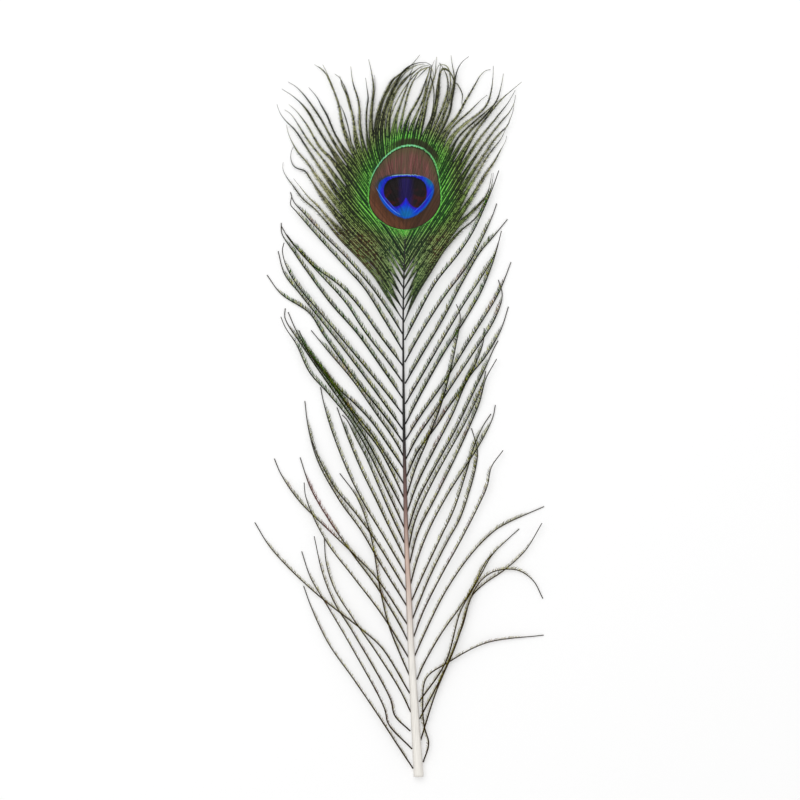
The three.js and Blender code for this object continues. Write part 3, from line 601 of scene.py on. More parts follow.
def fan_barb(points, distance, is_guide, openness, side, tone):
    length_share = 1.0 if is_guide else random.uniform(LEAST_LENGTH_SHARE, MOST_LENGTH_SHARE)
    route, shares = shortened(points, length_share)
    wave = np.sin(shares * WAVER_TURN + random.uniform(0, WAVER_PHASE))
    route[:, :2] += WAVER * wave[:, None] * smooth(shares * 3)[:, None]
    route[:, 2] += random.uniform(-HEIGHT_JITTER, HEIGHT_JITTER)
    opening = smooth((shares - OPENING_START) / (OPENING_END - OPENING_START))
    to_tip = np.clip((length_share - shares) / (TIP_SHARE * length_share), 0.0, 1.0)
    root = smooth(shares / OPEN_ROOT_SHARE)

    # The vane meets its neighbours inside the web and is narrow beyond it. On the lowest barbs it starts
    # narrow at the shaft too.
    distance_here = np.interp(shares, np.linspace(0.0, 1.0, FAN_POINTS), distance)
    closed = np.clip(VANE_OVERLAP * distance_here, VANE_LEAST_HALF_WIDTH, VANE_MOST_HALF_WIDTH)
    open_half_width = VANE_OPEN_HALF_WIDTH * (GUIDE_VANE_FACTOR if is_guide else 1.0)
    vane = closed * (1 - opening) + open_half_width * opening
    vane *= TIP_VANE_SHARE + (1 - TIP_VANE_SHARE) * smooth(to_tip)
    vane *= 1 - openness * (0.85 - 0.65 * root)

    # The fringe is longer beyond the web, and on the lowest barbs also from a little off the shaft.
    fringe = FAN_FRINGE * (0.6 + 0.4 * opening) * smooth(to_tip * 1.1) * smooth(shares / 0.015)
    fringe *= 1 + openness * (0.9 * smooth(shares / 0.1) - 0.5) * (1 - 0.7 * opening)
    stem = 0.4 + 0.6 * smooth(to_tip) + openness * smooth(1 - shares / OPEN_ROOT_SHARE)
    return {
        "points": route,
        "stem_radius": FAN_STEM_RADIUS * stem,
        "vane_half_width": vane,
        "far_fringe": fringe,
        "near_fringe": fringe,
        "fullness": np.full(len(shares), FAN_FULLNESS),
        "along": shares,
        "tone": np.full(len(shares), tone),
        "side": side,
    }


def stray(points, side):
    count = 4 * len(points)
    plan = even_route(points, count)
    shares = np.linspace(0.0, 1.0, count)
    heights = STRAY_START_HEIGHT + STRAY_RISE * np.sin(shares * np.pi) - STRAY_FALL * shares
    to_tip = smooth((1.0 - shares) / STRAY_THINNING)
    return {
        "points": np.column_stack([plan, heights]),
        "stem_radius": 0.04 + 0.09 * to_tip,
        "vane_half_width": 0.06 + 0.16 * to_tip * smooth(shares / 0.2),
        "far_fringe": STRAY_FRINGE * to_tip,
        "near_fringe": STRAY_FRINGE * to_tip,
        "fullness": np.full(count, FAN_FULLNESS),
        "along": STRAY_ALONG + (1 - STRAY_ALONG) * shares,
        "tone": np.full(count, random.random()),
        "side": side,
    }


left_fan = fan_barbs(LEFT_GUIDES + [MIDDLE_GUIDE], -1, LEFT_CLOSED_LOCKS)
right_fan = fan_barbs(RIGHT_GUIDES + [MIDDLE_GUIDE], 1, RIGHT_CLOSED_LOCKS)[:-1]
left_fan += [stray(points, -1) for points in LEFT_STRAYS]
right_fan += [stray(points, 1) for points in RIGHT_STRAYS]
print(len(left_fan), "fan barbs on the left,", len(right_fan), "on the right")

# %% [markdown]
# ## Routes as a mesh of lines
#
# Geometry Nodes can read routes from a mesh that has only points and edges. Whatever differs from barb
# to barb goes in as an attribute of the points, so one tree can dress them all.

# %% Line mesh
POINT_SIZES = ("stem_radius", "vane_half_width", "far_fringe", "near_fringe")
POINT_SHARES = ("fullness", "along", "tone")


def line_object(name, barbs):
    points = np.vstack([barb["points"] for barb in barbs]) * MM
    edges = []
    start = 0
    for barb in barbs:
        count = len(barb["points"])
        edges += [(start + step, start + step + 1) for step in range(count - 1)]
        start += count
    mesh = bpy.data.meshes.new(name)
    mesh.from_pydata([tuple(point) for point in points], edges, [])
    for key in POINT_SIZES + POINT_SHARES:
        scale = MM if key in POINT_SIZES else 1.0
        values = np.concatenate([barb[key] for barb in barbs]) * scale
        mesh.attributes.new(key, "FLOAT", "POINT").data.foreach_set("value", values.astype(np.float32))
    lines = bpy.data.objects.new(name, mesh)
    bpy.context.scene.collection.objects.link(lines)
    return lines


# %% [markdown]
# ## One barbule
#
# A barbule is a fine curved blade. It leaves the stem at a wide angle and bends forward, so that its end
# runs nearly along the barb. Thousands are needed, so each is a three-sided blade of ten triangles: a
# foot, one ring at its bend, and a point. It reaches one unit here, and each copy is scaled later. An
# attribute called reach runs from 0 at its foot to 1 at its point.

# %% Barbule blades
BLADE_FOOT = (0.0, 0.0, 0.0)
BLADE_BEND = (0.72, 0.42, 0.05)
BLADE_TIP = (1.0, 1.05, -0.03)
BLADE_WIDTH = 0.13
BLADE_BEND_WIDTH = 0.117
BLADE_THICKNESS = 0.1
BLADE_BEND_REACH = 0.6


def blade_ring(centre, width, side):
    along, forward, up = centre
    ring = [(side * (along - width / 4), forward + width / 2, up),
            (side * (along + width / 4), forward - width / 2, up),
            (side * along, forward, up + BLADE_THICKNESS)]
    return ring if side > 0 else [ring[1], ring[0], ring[2]]


def barbule_blade(name, side):
    foot = blade_ring(BLADE_FOOT, BLADE_WIDTH, side)
    bend = blade_ring(BLADE_BEND, BLADE_BEND_WIDTH, side)
    tip = (side * BLADE_TIP[0], BLADE_TIP[1], BLADE_TIP[2])
    faces = [(0, 1, 2)]
    for corner in range(3):
        after = (corner + 1) % 3
        faces.append((corner, corner + 3, after + 3, after))
        faces.append((corner + 3, 6, after + 3))
    mesh = bpy.data.meshes.new(name)
    mesh.from_pydata(foot + bend + [tip], [], faces)
    reach = [0.0] * 3 + [BLADE_BEND_REACH] * 3 + [1.0]
    mesh.attributes.new("reach", "FLOAT", "POINT").data.foreach_set("value", reach)
    blade = bpy.data.objects.new(name, mesh)
    bpy.context.scene.collection.objects.link(blade)
    return blade


def outward_volume(mesh):
    mesh.calc_loop_triangles()
    corners = np.array([[mesh.vertices[corner].co[:] for corner in triangle.vertices]
                        for triangle in mesh.loop_triangles])
    return float((corners[:, 0] * np.cross(corners[:, 1], corners[:, 2])).sum() / 6)


left_blade = barbule_blade("left_barbule", -1)
right_blade = barbule_blade("right_barbule", 1)
print("blade volumes, which are positive when faces point out:",
      round(outward_volume(left_blade.data), 4), round(outward_volume(right_blade.data), 4))

# %% [markdown]
# ## Wiring helper
#
# Node trees are easier to read when a node, its settings and its inputs are given in one call. The
# helper below does that for geometry and for shader trees. A value that is a socket is linked, and any
# other value is set on the input.

# %% Wiring helper


class Wiring:
    def __init__(self, tree):
        self.tree = tree

    def node(self, kind, inputs=None, **settings):
        made = self.tree.nodes.new(kind)
        for setting, value in settings.items():
            setattr(made, setting, value)
        for name, value in (inputs or {}).items():
            self.feed(made.inputs[name], value)
        return made

    def feed(self, socket, value):
        if isinstance(value, bpy.types.NodeSocket):
            self.tree.links.new(value, socket)
        else:
            socket.default_value = value

    def maths(self, operation, first, second=0.0, third=0.0):
        made = self.node("ShaderNodeMath", {0: first, 1: second, 2: third}, operation=operation)
        return made.outputs[0]


# %% [markdown]
# ## The tree that dresses a barb
#
# One tree dresses every route. A tube follows it as the stem. On the fan a thin vane follows it too, a
# little thicker along its middle. Blades stand at even steps on both sides, turned to the run of the
# barb, with a random lean and length from a fixed seed. The sizes are named inputs, so the loose barbs
# and the fan share the tree with different values.
#
# The parts carry marks for the paint. Reach is -1 on the stem, and on vanes and blades it runs from 0 to
# 1 away from the stem. Each blade also gets a number by chance, called vary, which is 0 on stem and vane.

# %% Dressing tree
UP = (0.0, 0.0, 1.0)
STEM_SIDES = 5
STEM_REACH = -1.0
VANE_KEEL = 0.12
LEAST_VANE = 0.01 * MM               # narrower vanes are left out
LEAST_BLADE = 0.12 * MM              # and so are shorter blades
LEAN_LIMIT = (0.12, 0.1, 0.26)       # radians
LENGTH_SEED, KEPT_SEED, VARY_SEED, NEAR_SIDE_SEED = 11.0, 29.0, 53.0, 101.0
LEAST_VARY = 0.05                    # above 0, so that the paint can tell a blade from a vane


def named(wiring, name):
    made = wiring.node("GeometryNodeInputNamedAttribute", {"Name": name}, data_type="FLOAT")
    return made.outputs["Attribute"]


def marked(wiring, geometry, name, value, domain="POINT"):
    made = wiring.node("GeometryNodeStoreNamedAttribute",
                       {"Geometry": geometry, "Name": name, "Value": value}, data_type="FLOAT", domain=domain)
    return made.outputs["Geometry"]


def is_more(wiring, value, limit):
    made = wiring.node("FunctionNodeCompare", {"A": value, "B": limit},
                       data_type="FLOAT", operation="GREATER_THAN")
    return made.outputs[0]


def by_chance(wiring, seed, offset, low=0.0, high=1.0):
    own_seed = wiring.maths("ADD", seed, offset)
    made = wiring.node("FunctionNodeRandomValue", {"Seed": own_seed}, data_type="FLOAT")
    wiring.feed(made.inputs[2], low)
    wiring.feed(made.inputs[3], high)
    return made.outputs[1]


def swept(wiring, routes, profile, scale):
    made = wiring.node("GeometryNodeCurveToMesh",
                       {"Curve": routes, "Profile Curve": profile, "Scale": scale, "Fill Caps": True})
    return made.outputs["Mesh"]


def stems(wiring, routes):
    profile = wiring.node("GeometryNodeCurvePrimitiveCircle", {"Resolution": STEM_SIDES, "Radius": 1.0})
    profile = marked(wiring, profile.outputs["Curve"], "reach", STEM_REACH)
    return swept(wiring, routes, profile, named(wiring, "stem_radius"))


def vanes(wiring, routes, ridge):
    peak = wiring.node("ShaderNodeCombineXYZ", {"Y": ridge})
    profile = wiring.node("GeometryNodeCurvePrimitiveQuadrilateral",
                          {"Point 1": (-1, 0, 0), "Point 2": (0, -VANE_KEEL, 0), "Point 3": (1, 0, 0),
                           "Point 4": peak.outputs[0]}, mode="POINTS")
    place = wiring.node("GeometryNodeInputPosition")
    across = wiring.node("ShaderNodeSeparateXYZ", {0: place.outputs[0]})
    profile = marked(wiring, profile.outputs["Curve"], "reach", wiring.maths("ABSOLUTE", across.outputs["X"]))
    half_width = named(wiring, "vane_half_width")
    is_wide = is_more(wiring, half_width, LEAST_VANE)
    kept = wiring.node("GeometryNodeSeparateGeometry", {"Geometry": routes, "Selection": is_wide},
                       domain="POINT")
    level = wiring.node("GeometryNodeSetCurveNormal", {"Curve": kept.outputs["Selection"]}, mode="Z_UP")
    return swept(wiring, level.outputs[0], profile, half_width)


def fringe(wiring, routes, length_name, blade, inputs, seed):
    spaced = wiring.node("GeometryNodeCurveToPoints", {"Curve": routes, "Length": inputs["Barbule spacing"]},
                         mode="LENGTH")

    # Each blade is turned to its barb and then leans by chance.
    facing = wiring.node("FunctionNodeAxesToRotation",
                         {"Primary Axis": UP, "Secondary Axis": spaced.outputs["Tangent"]},
                         primary_axis="Z", secondary_axis="Y")
    lean = wiring.node("FunctionNodeRandomValue",
                       {"Seed": seed, "Min": [-limit for limit in LEAN_LIMIT], "Max": LEAN_LIMIT},
                       data_type="FLOAT_VECTOR")
    scaled_lean = wiring.node("ShaderNodeVectorMath", {0: lean.outputs[0], "Scale": inputs["Lean spread"]},
                              operation="SCALE")
    twist = wiring.node("FunctionNodeEulerToRotation", {0: scaled_lean.outputs[0]})
    turned = wiring.node("FunctionNodeRotateRotation",
                         {"Rotation": facing.outputs[0], "Rotate By": twist.outputs[0]},
                         rotation_space="LOCAL")

    # Its length is that of the fringe here, more or less. Worn places lose some of their blades.
    length = named(wiring, length_name)
    shortest = wiring.maths("SUBTRACT", 1.0, inputs["Length spread"])
    longest = wiring.maths("ADD", 1.0, inputs["Length spread"])
    size = wiring.maths("MULTIPLY", length, by_chance(wiring, seed, LENGTH_SEED, shortest, longest))
    is_kept = is_more(wiring, named(wiring, "fullness"), by_chance(wiring, seed, KEPT_SEED))
    is_long = is_more(wiring, length, LEAST_BLADE)
    both = wiring.node("FunctionNodeBooleanMath", {0: is_kept, 1: is_long}, operation="AND")
    shape = wiring.node("GeometryNodeObjectInfo", {"Object": blade}, transform_space="ORIGINAL")
    placed = wiring.node("GeometryNodeInstanceOnPoints",
                         {"Points": spaced.outputs["Points"], "Selection": both.outputs[0], "Scale": size,
                          "Instance": shape.outputs["Geometry"], "Rotation": turned.outputs[0]})
    vary = by_chance(wiring, seed, VARY_SEED, LEAST_VARY)
    return marked(wiring, placed.outputs["Instances"], "vary", vary, "INSTANCE")


def dressing_tree():
    tree = bpy.data.node_groups.new("dress the barbs", "GeometryNodeTree")
    face = tree.interface
    for name, kind in (("Geometry", "Geometry"), ("Barbule spacing", "Float"), ("Lean spread", "Float"),
                       ("Length spread", "Float"), ("Vane ridge", "Float"), ("Seed", "Int"),
                       ("Far barbule", "Object"), ("Near barbule", "Object"), ("Finish", "Material")):
        face.new_socket(name, in_out="INPUT", socket_type="NodeSocket" + kind)
    face.new_socket("Geometry", in_out="OUTPUT", socket_type="NodeSocketGeometry")
    wiring = Wiring(tree)
    inputs = wiring.node("NodeGroupInput").outputs
    seed = inputs["Seed"]
    routes = wiring.node("GeometryNodeMeshToCurve", {"Mesh": inputs["Geometry"]}).outputs["Curve"]
    parts = [stems(wiring, routes), vanes(wiring, routes, inputs["Vane ridge"]),
             fringe(wiring, routes, "far_fringe", inputs["Far barbule"], inputs, seed),
             fringe(wiring, routes, "near_fringe", inputs["Near barbule"], inputs,
                    wiring.maths("ADD", seed, NEAR_SIDE_SEED))]
    joined = wiring.node("GeometryNodeJoinGeometry")
    for part in reversed(parts):
        tree.links.new(part, joined.inputs[0])
    solid = wiring.node("GeometryNodeRealizeInstances", {"Geometry": joined.outputs[0]})
    shaded = wiring.node("GeometryNodeSetShadeSmooth", {"Geometry": solid.outputs[0], "Shade Smooth": False})
    finished = wiring.node("GeometryNodeSetMaterial",
                           {"Geometry": shaded.outputs[0], "Material": inputs["Finish"]})
    wiring.node("NodeGroupOutput", {"Geometry": finished.outputs[0]})
    return tree


BARB_TREE = dressing_tree()
print("the tree has", len(BARB_TREE.nodes), "nodes")


# %% Dressing a set of barbs
def grown_mesh(lines, tree, values):
    # The tree is applied at once, so each piece is a plain mesh.
    modifier = lines.modifiers.new("grow", "NODES")
    modifier.node_group = tree
    sockets = {item.name: item.identifier for item in tree.interface.items_tree if item.in_out == "INPUT"}
    for name, value in values.items():
        modifier[sockets[name]] = value
    lines.update_tag()
    evaluated = lines.evaluated_get(bpy.context.evaluated_depsgraph_get())
    mesh = bpy.data.meshes.new_from_object(evaluated)
    bpy.data.objects.remove(lines)
    return mesh


def piece_of(name, mesh):
    mesh.name = name
    piece = bpy.data.objects.new(name, mesh)
    bpy.context.scene.collection.objects.link(piece)
    mesh.calc_loop_triangles()
    print(name, "has", len(mesh.loop_triangles), "triangles")
    return piece


def dressed_barbs(name, barbs, finish, sizes, seed):
    is_left = barbs[0]["side"] < 0
    blades = {"Far barbule": right_blade if is_left else left_blade,
              "Near barbule": left_blade if is_left else right_blade}
    values = {**sizes, **blades, "Seed": seed, "Finish": finish}
    return piece_of(name, grown_mesh(line_object(name + "_lines", barbs), BARB_TREE, values))


# %% [markdown]
# ## Colours as layers
#
# The picture on a feather is painted by position: what colour a barb has at a point depends on where
# that point lies in the eye. So the finish reads Object coordinates, works out masks from a few ovals,
# and lays colours over one another like coats of paint. Every barb shifts the picture by a fraction of
# a millimetre, as real barbs never lie quite in line. A ramp is a mask that rises, or falls, between two
# values of its measure, and all positions in the finishes are millimetres.

# %% Paint helpers


def linear(shade):
    # Colours are written as the usual eight-bit values, and mixed as linear light.
    if isinstance(shade, bpy.types.NodeSocket):
        return shade
    shares = np.array(shade) / 255.0
    light = np.where(shares <= 0.04045, shares / 12.92, ((shares + 0.055) / 1.055) ** 2.4)
    return (float(light[0]), float(light[1]), float(light[2]), 1.0)


class Paint(Wiring):
    def __init__(self, name):
        self.finish = bpy.data.materials.new(name)
        self.finish.use_nodes = True
        super().__init__(self.finish.node_tree)
        self.shader = self.finish.node_tree.nodes["Principled BSDF"]

    def attribute(self, name):
        return self.node("ShaderNodeAttribute", attribute_name=name).outputs["Fac"]

    def place(self):
        coordinates = self.node("ShaderNodeTexCoord").outputs["Object"]
        in_mm = self.node("ShaderNodeVectorMath", {0: coordinates, "Scale": 1.0 / MM}, operation="SCALE")
        return in_mm.outputs[0]

    def axes(self, place):
        made = self.node("ShaderNodeSeparateXYZ", {0: place})
        return made.outputs["X"], made.outputs["Y"]

    def away(self, value, centre):
        return self.maths("ABSOLUTE", self.maths("SUBTRACT", value, centre))

    def off_line(self, x, y, slope, offset):
        # How far above or below a sloping line a point lies.
        return self.maths("ABSOLUTE", self.maths("ADD", y, self.maths("MULTIPLY_ADD", x, slope, offset)))

    def ramp(self, value, low, high, result_low=0.0, result_high=1.0):
        made = self.node("ShaderNodeMapRange", {"Value": value, "From Min": low, "From Max": high,
                                                "To Min": result_low, "To Max": result_high},
                         interpolation_type="SMOOTHSTEP")
        return made.outputs["Result"]

    def both(self, *masks):
        product = masks[0]
        for mask in masks[1:]:
            product = self.maths("MULTIPLY", product, mask)
        return product

    def coat(self, under, over, mask):
        made = self.node("ShaderNodeMix", data_type="RGBA")
        self.feed(made.inputs["Factor"], mask)
        self.feed(made.inputs["A"], linear(under))
        self.feed(made.inputs["B"], linear(over))
        return made.outputs["Result"]

    def coats(self, shade, *layers):
        for over, mask in layers:
            shade = self.coat(shade, over, mask)
        return shade

    def darken(self, under, amount):
        made = self.node("ShaderNodeMix", {"Factor": 1.0}, data_type="RGBA", blend_type="MULTIPLY")
        self.feed(made.inputs["A"], linear(under))
        grey = self.node("ShaderNodeCombineColor", {0: amount, 1: amount, 2: amount})
        self.feed(made.inputs["B"], grey.outputs[0])
        return made.outputs["Result"]

    def noise(self, vector, scale, detail=2.0, stretch=(1, 1, 1)):
        stretched = self.node("ShaderNodeVectorMath", {0: vector, 1: stretch}, operation="MULTIPLY")
        made = self.node("ShaderNodeTexNoise",
                         {"Vector": stretched.outputs[0], "Scale": scale, "Detail": detail})
        return made.outputs["Fac"]

    def surface(self, shade, roughness, specular):
        self.feed(self.shader.inputs["Base Color"], shade)
        self.shader.inputs["Roughness"].default_value = roughness
        self.shader.inputs["Specular IOR Level"].default_value = specular

    def bump(self, height, strength, distance):
        made = self.node("ShaderNodeBump", {"Height": height, "Strength": strength, "Distance": distance})
        self.feed(self.shader.inputs["Normal"], made.outputs[0])


# %% [markdown]
# ### The horn of the shaft
#
# The shaft is smooth horn. It is cream where it is cut, turns a pinkish beige up the feather, and runs
# out nearly black. Its flanks are darker than its back, and fine streaks run along it.

# %% Horn finish


def horn_finish():
    paint = Paint("shaft_horn")
    place = paint.place()
    y = paint.axes(place)[1]
    streak = paint.noise(place, 1.0, 3.0, (2.6, 0.12, 2.6))
    edge = paint.both(paint.ramp(paint.attribute("flank"), 0.45, 1.0), paint.ramp(y, -112, -60, 0.12, 0.75))
    shade = paint.coats((243, 239, 232),                                # cream at the cut
                        ((206, 180, 166), paint.ramp(y, -104, -62)),    # pinkish beige
                        ((122, 92, 86), paint.ramp(y, -62, -34)),       # greyish brown
                        ((88, 64, 54), edge),                           # dark flanks
                        ((16, 13, 11), paint.ramp(y, -40, -8)))         # nearly black
    shade = paint.darken(shade, paint.ramp(streak, 0.3, 0.75, 0.86, 1.04))
    paint.surface(shade, 0.42, 0.3)
    paint.shader.inputs["Coat Weight"].default_value = 0.06
    paint.shader.inputs["Coat Roughness"].default_value = 0.3
    paint.bump(streak, 0.25, 0.2 * MM)
    return paint.finish


# %% [markdown]
# ### The silk of a loose barb
#
# A loose barb has a stem that is brown low on the feather and nearly black higher up. Its barbules are
# olive with dark points. Patches along the barb turn green or brown, and single barbules are pale or
# dark by chance. Low on the feather they are bleached. A bundle of barbs half way up on the left is
# greener than the rest, and one barb lower down there is rusty.

# %% Loose barb finish


def loose_finish():
    paint = Paint("loose_barb_silk")
    place = paint.place()
    x, y = paint.axes(place)
    reach, along, tone, vary = (paint.attribute(key) for key in ("reach", "along", "tone", "vary"))
    patch = paint.noise(place, 0.09, 2.0)
    speck = paint.noise(place, 1.3, 2.0)

    # The bundle and the rusty barb are bands beside two sloping lines.
    bundle = paint.both(paint.ramp(paint.off_line(x, y, 1.64, 37.6), 8, 3),
                        paint.ramp(x, -44, -40), paint.ramp(x, -7, -14), 0.6)
    bundle_speck = paint.both(paint.ramp(speck, 0.4, 0.5), paint.ramp(y, -12, 6, 0.4, 1.0))
    bundle_green = paint.coat((50, 56, 18), (72, 122, 26), bundle_speck)
    rust = paint.both(paint.ramp(paint.off_line(x, y, 2.0, 106.0), 6, 3),
                      paint.ramp(y, -54, -48), paint.ramp(y, -22, -28))

    green_patch = paint.both(paint.ramp(y, -20, 45), paint.ramp(patch, 0.4, 0.56))
    brown_patch = paint.both(paint.ramp(patch, 0.5, 0.64), paint.ramp(tone, 0.35, 0.7))
    pale_blade = paint.both(paint.ramp(vary, 0.74, 0.84), paint.ramp(y, -90, 60, 0.9, 0.75))
    dark_blade = paint.both(paint.ramp(vary, 0.5, 0.3), paint.ramp(y, -90, 30, 0.55, 0.85))
    dark_speck = paint.both(paint.ramp(speck, 0.5, 0.62), paint.ramp(y, -90, 30, 0.3, 0.75))
    silk = paint.coats((150, 138, 34),
                       ((88, 100, 20), paint.ramp(y, -90, 20)),
                       ((66, 122, 20), green_patch),
                       ((122, 64, 30), brown_patch),
                       ((196, 194, 84), pale_blade),
                       ((28, 31, 6), dark_blade),
                       ((32, 34, 8), dark_speck),
                       (bundle_green, bundle),
                       ((30, 34, 8), paint.ramp(reach, 0.66, 0.9)),
                       ((124, 46, 28), paint.both(rust, 0.85)))
    stem = paint.coats((46, 32, 8),
                       ((12, 11, 5), paint.ramp(y, -70, 0)),
                       ((76, 26, 16), paint.both(rust, 0.75)),
                       ((44, 36, 18), paint.ramp(along, 0.75, 1.0)))
    paint.surface(paint.coat(stem, silk, paint.ramp(reach, 0.04, 0.22)), 0.6, 0.08)
    return paint.finish


# %% [markdown]
# ### The eye and its fan
#
# From the outside in, the eye has a green border, a bronze oval, a bright blue patch and a dark heart
# with two lobes. Each is an oval with its own half width, height above its centre and height below it,
# and a power that makes it fuller than an ellipse. One node group measures how far out of such an oval
# a point lies: under 1 is inside. Outside the eye the same measure turns green to olive and brown.

# %% Oval measure


def oval_group():
    tree = bpy.data.node_groups.new("how far out of an oval", "ShaderNodeTree")
    for name in ("X", "Y", "Centre X", "Centre Y", "Half width", "Above", "Below",
                 "Upper power", "Lower power"):
        tree.interface.new_socket(name, in_out="INPUT", socket_type="NodeSocketFloat")
    tree.interface.new_socket("Share", in_out="OUTPUT", socket_type="NodeSocketFloat")
    wiring = Wiring(tree)
    inputs = wiring.node("NodeGroupInput").outputs
    across = wiring.maths("ABSOLUTE", wiring.maths("SUBTRACT", inputs["X"], inputs["Centre X"]))
    across = wiring.maths("DIVIDE", across, inputs["Half width"])
    rise = wiring.maths("SUBTRACT", inputs["Y"], inputs["Centre Y"])
    above = wiring.maths("DIVIDE", wiring.maths("MAXIMUM", rise, 0.0), inputs["Above"])
    below = wiring.maths("DIVIDE", wiring.maths("MAXIMUM", wiring.maths("MULTIPLY", rise, -1.0), 0.0),
                         inputs["Below"])
    height = wiring.maths("ADD", above, below)
    is_upper = wiring.maths("GREATER_THAN", rise, 0.0)
    extra = wiring.maths("SUBTRACT", inputs["Upper power"], inputs["Lower power"])
    power = wiring.maths("MULTIPLY_ADD", is_upper, extra, inputs["Lower power"])
    total = wiring.maths("ADD", wiring.maths("POWER", across, power), wiring.maths("POWER", height, power))
    share = wiring.maths("POWER", total, wiring.maths("DIVIDE", 1.0, power))
    wiring.node("NodeGroupOutput", {"Share": share})
    return tree


OVAL = oval_group()

# %% Ovals of the eye, in millimetres
# Each is centre x, centre y, half width, height above, height below, upper power, lower power.
# The heart is made of two lobes and of a crown over them, which has no lower half.
BRONZE_OVAL = (2.0, 90.0, 15.1, 22.5, 12.6, 2.08, 1.84)
EYE_TOP_SHIFT = 2.1                  # the top of the eye leans to the right by this,
EYE_SHIFT_START_Y = 96               # over this stretch
EYE_SHIFT_END_Y = 114
BLUE_OVAL = (2.5, 94.0, 11.9, 6.5, 12.1, 2.6, 1.64)
HEART_CROWN = (2.2, 93.4, 9.1, 6.45, 6.0, 2.5, 2.0)
HEART_LEFT_LOBE = (-2.0, 93.0, 4.6, 6.0, 6.0, 2.0, 1.9)
HEART_RIGHT_LOBE = (6.9, 93.0, 4.4, 6.0, 6.4, 2.0, 1.9)


def oval(paint, x, y, sizes):
    measure = paint.node("ShaderNodeGroup", node_tree=OVAL)
    for socket, value in zip(measure.inputs, (x, y) + sizes):
        paint.feed(socket, value)
    return measure.outputs["Share"]


# %% [markdown]
# ### Coats outside the eye
#
# The fan has three base colours: that of a barb's body, a light one for its painted highlights and a dark
# one that paints shade along the edges of its vanes and also darkens some blades and barbs. Each turns
# from green beside the eye to olive and brown far from it.

# %% Coats outside the eye
AXIS_X = 1.8                         # where the shaft meets the eye


def by_distance(paint, bronze, near, middle, far):
    return paint.coats(near, (middle, paint.ramp(bronze, 1.1, 1.55)), (far, paint.ramp(bronze, 1.5, 2.3)))


def outer_fan_coats(paint, x, y, bronze, along, tone, reach, vary, mottle, speck):
    off_axis = paint.away(x, AXIS_X)
    foot = paint.both(paint.ramp(off_axis, 15, 4), paint.ramp(y, 30, 58))
    vee = paint.both(paint.ramp(y, 66, 75), paint.ramp(off_axis, 7.0, 2.0), paint.ramp(bronze, 1.3, 1.1),
                     paint.ramp(tone, 0.15, 0.6, 0.3, 1.0))
    crown = paint.ramp(paint.maths("MULTIPLY_ADD", off_axis, 0.5, y), 117, 130)
    brown = paint.both(paint.ramp(y, 82, 70), paint.ramp(off_axis, 7, 16), paint.ramp(mottle, 0.38, 0.54))
    body = paint.coats(by_distance(paint, bronze, (34, 96, 20), (42, 56, 20), (52, 48, 27)),
                       ((28, 68, 30), foot),
                       ((84, 190, 60), vee),
                       ((37, 40, 22), crown),
                       ((88, 58, 32), brown))
    # The light colour is that of the painted highlights.
    light = paint.coats(by_distance(paint, bronze, (132, 216, 88), (146, 180, 90), (188, 186, 138)),
                        ((184, 186, 136), paint.both(crown, 0.8)),
                        ((154, 180, 112), paint.ramp(y, 84, 66)))
    dark = by_distance(paint, bronze, (6, 32, 9), (14, 20, 8), (20, 18, 11))
    dark = paint.coat(dark, (16, 17, 9), crown)

    # A vane has painted shade along its edges and broken painted highlights along its ridge. Some blades get
    # painted glints too.
    ridge = paint.both(paint.ramp(reach, 0.24, 0.08), paint.ramp(speck, 0.38, 0.5),
                       paint.ramp(tone, 0.05, 0.5, 0.35, 1.0))
    vane = paint.coats(body, (dark, paint.ramp(reach, 0.25, 0.7)), (light, ridge))
    glint = paint.both(paint.ramp(vary, 0.25, 0.4), paint.ramp(speck, 0.46, 0.53),
                       paint.ramp(bronze, 1.15, 2.0, 0.3, 1.0))
    blade = paint.coats(dark, (body, paint.ramp(speck, 0.34, 0.5)), (light, glint))

    bare_stem = paint.both(paint.ramp(reach, -0.1, -0.5), paint.ramp(along, 0.15, 0.07),
                           paint.ramp(y, 66, 56))
    dark_barb = paint.ramp(tone, 0.5, 0.2, 0.0, 0.68)
    # Some barbs near the eye, picked by their tone, get a painted highlight along their inner part.
    highlit_barb = paint.both(paint.ramp(tone, 0.8, 0.95), paint.ramp(bronze, 1.7, 1.3),
                             paint.ramp(reach, 0.7, 0.3), 0.42)
    above_eye = paint.both(paint.ramp(y, 103, 109), paint.ramp(bronze, 1.19, 1.12),
                           paint.ramp(bronze, 1.0, 1.05), paint.ramp(x, -7, 0, 0.2, 0.95))
    ends = paint.both(paint.ramp(along, 0.6, 0.95), paint.ramp(y, 84, 100),
                      paint.ramp(speck, 0.58, 0.46, 0.1, 0.9))
    return paint.coats(vane,
                       (blade, paint.ramp(vary, 0.0, 0.04)),
                       ((12, 14, 8), bare_stem),
                       (dark, dark_barb),
                       (light, highlit_barb),
                       ((38, 40, 20), above_eye),
                       ((26, 27, 12), ends))


def border_coats(paint, shade, x, y, bronze, speck):
    ring = paint.both(paint.ramp(bronze, 0.995, 1.005), paint.ramp(bronze, 1.034, 1.018))
    green = paint.both(ring, paint.ramp(speck, 0.38, 0.5, 0.35, 1.0))
    mint = paint.both(ring, paint.ramp(y, 95, 103), paint.ramp(x, 18, 4, 0.35, 1.0),
                      paint.ramp(speck, 0.36, 0.48, 0.45, 1.0))
    dim = paint.both(ring, paint.ramp(y, 81, 79), paint.ramp(x, 2, 6, 0.0, 0.8))
    return paint.coats(shade, ((98, 190, 76), green), ((128, 208, 160), mint), ((14, 34, 18), dim))


# %% [markdown]
# ### Coats of the eye
#
# The bronze is rosier above and browner below, the blue patch has paler corners and a deep middle, and
# the heart has a blue streak between its lobes. Three barbs that stand up a little catch the light, and
# that highlight is painted on as bright lines beside the blue.

# %% Coats of the eye
EDGE_OUTER = 0.36                    # half width of a bright line, with its soft flanks
EDGE_INNER = 0.12
EDGE_FADE = 1.2
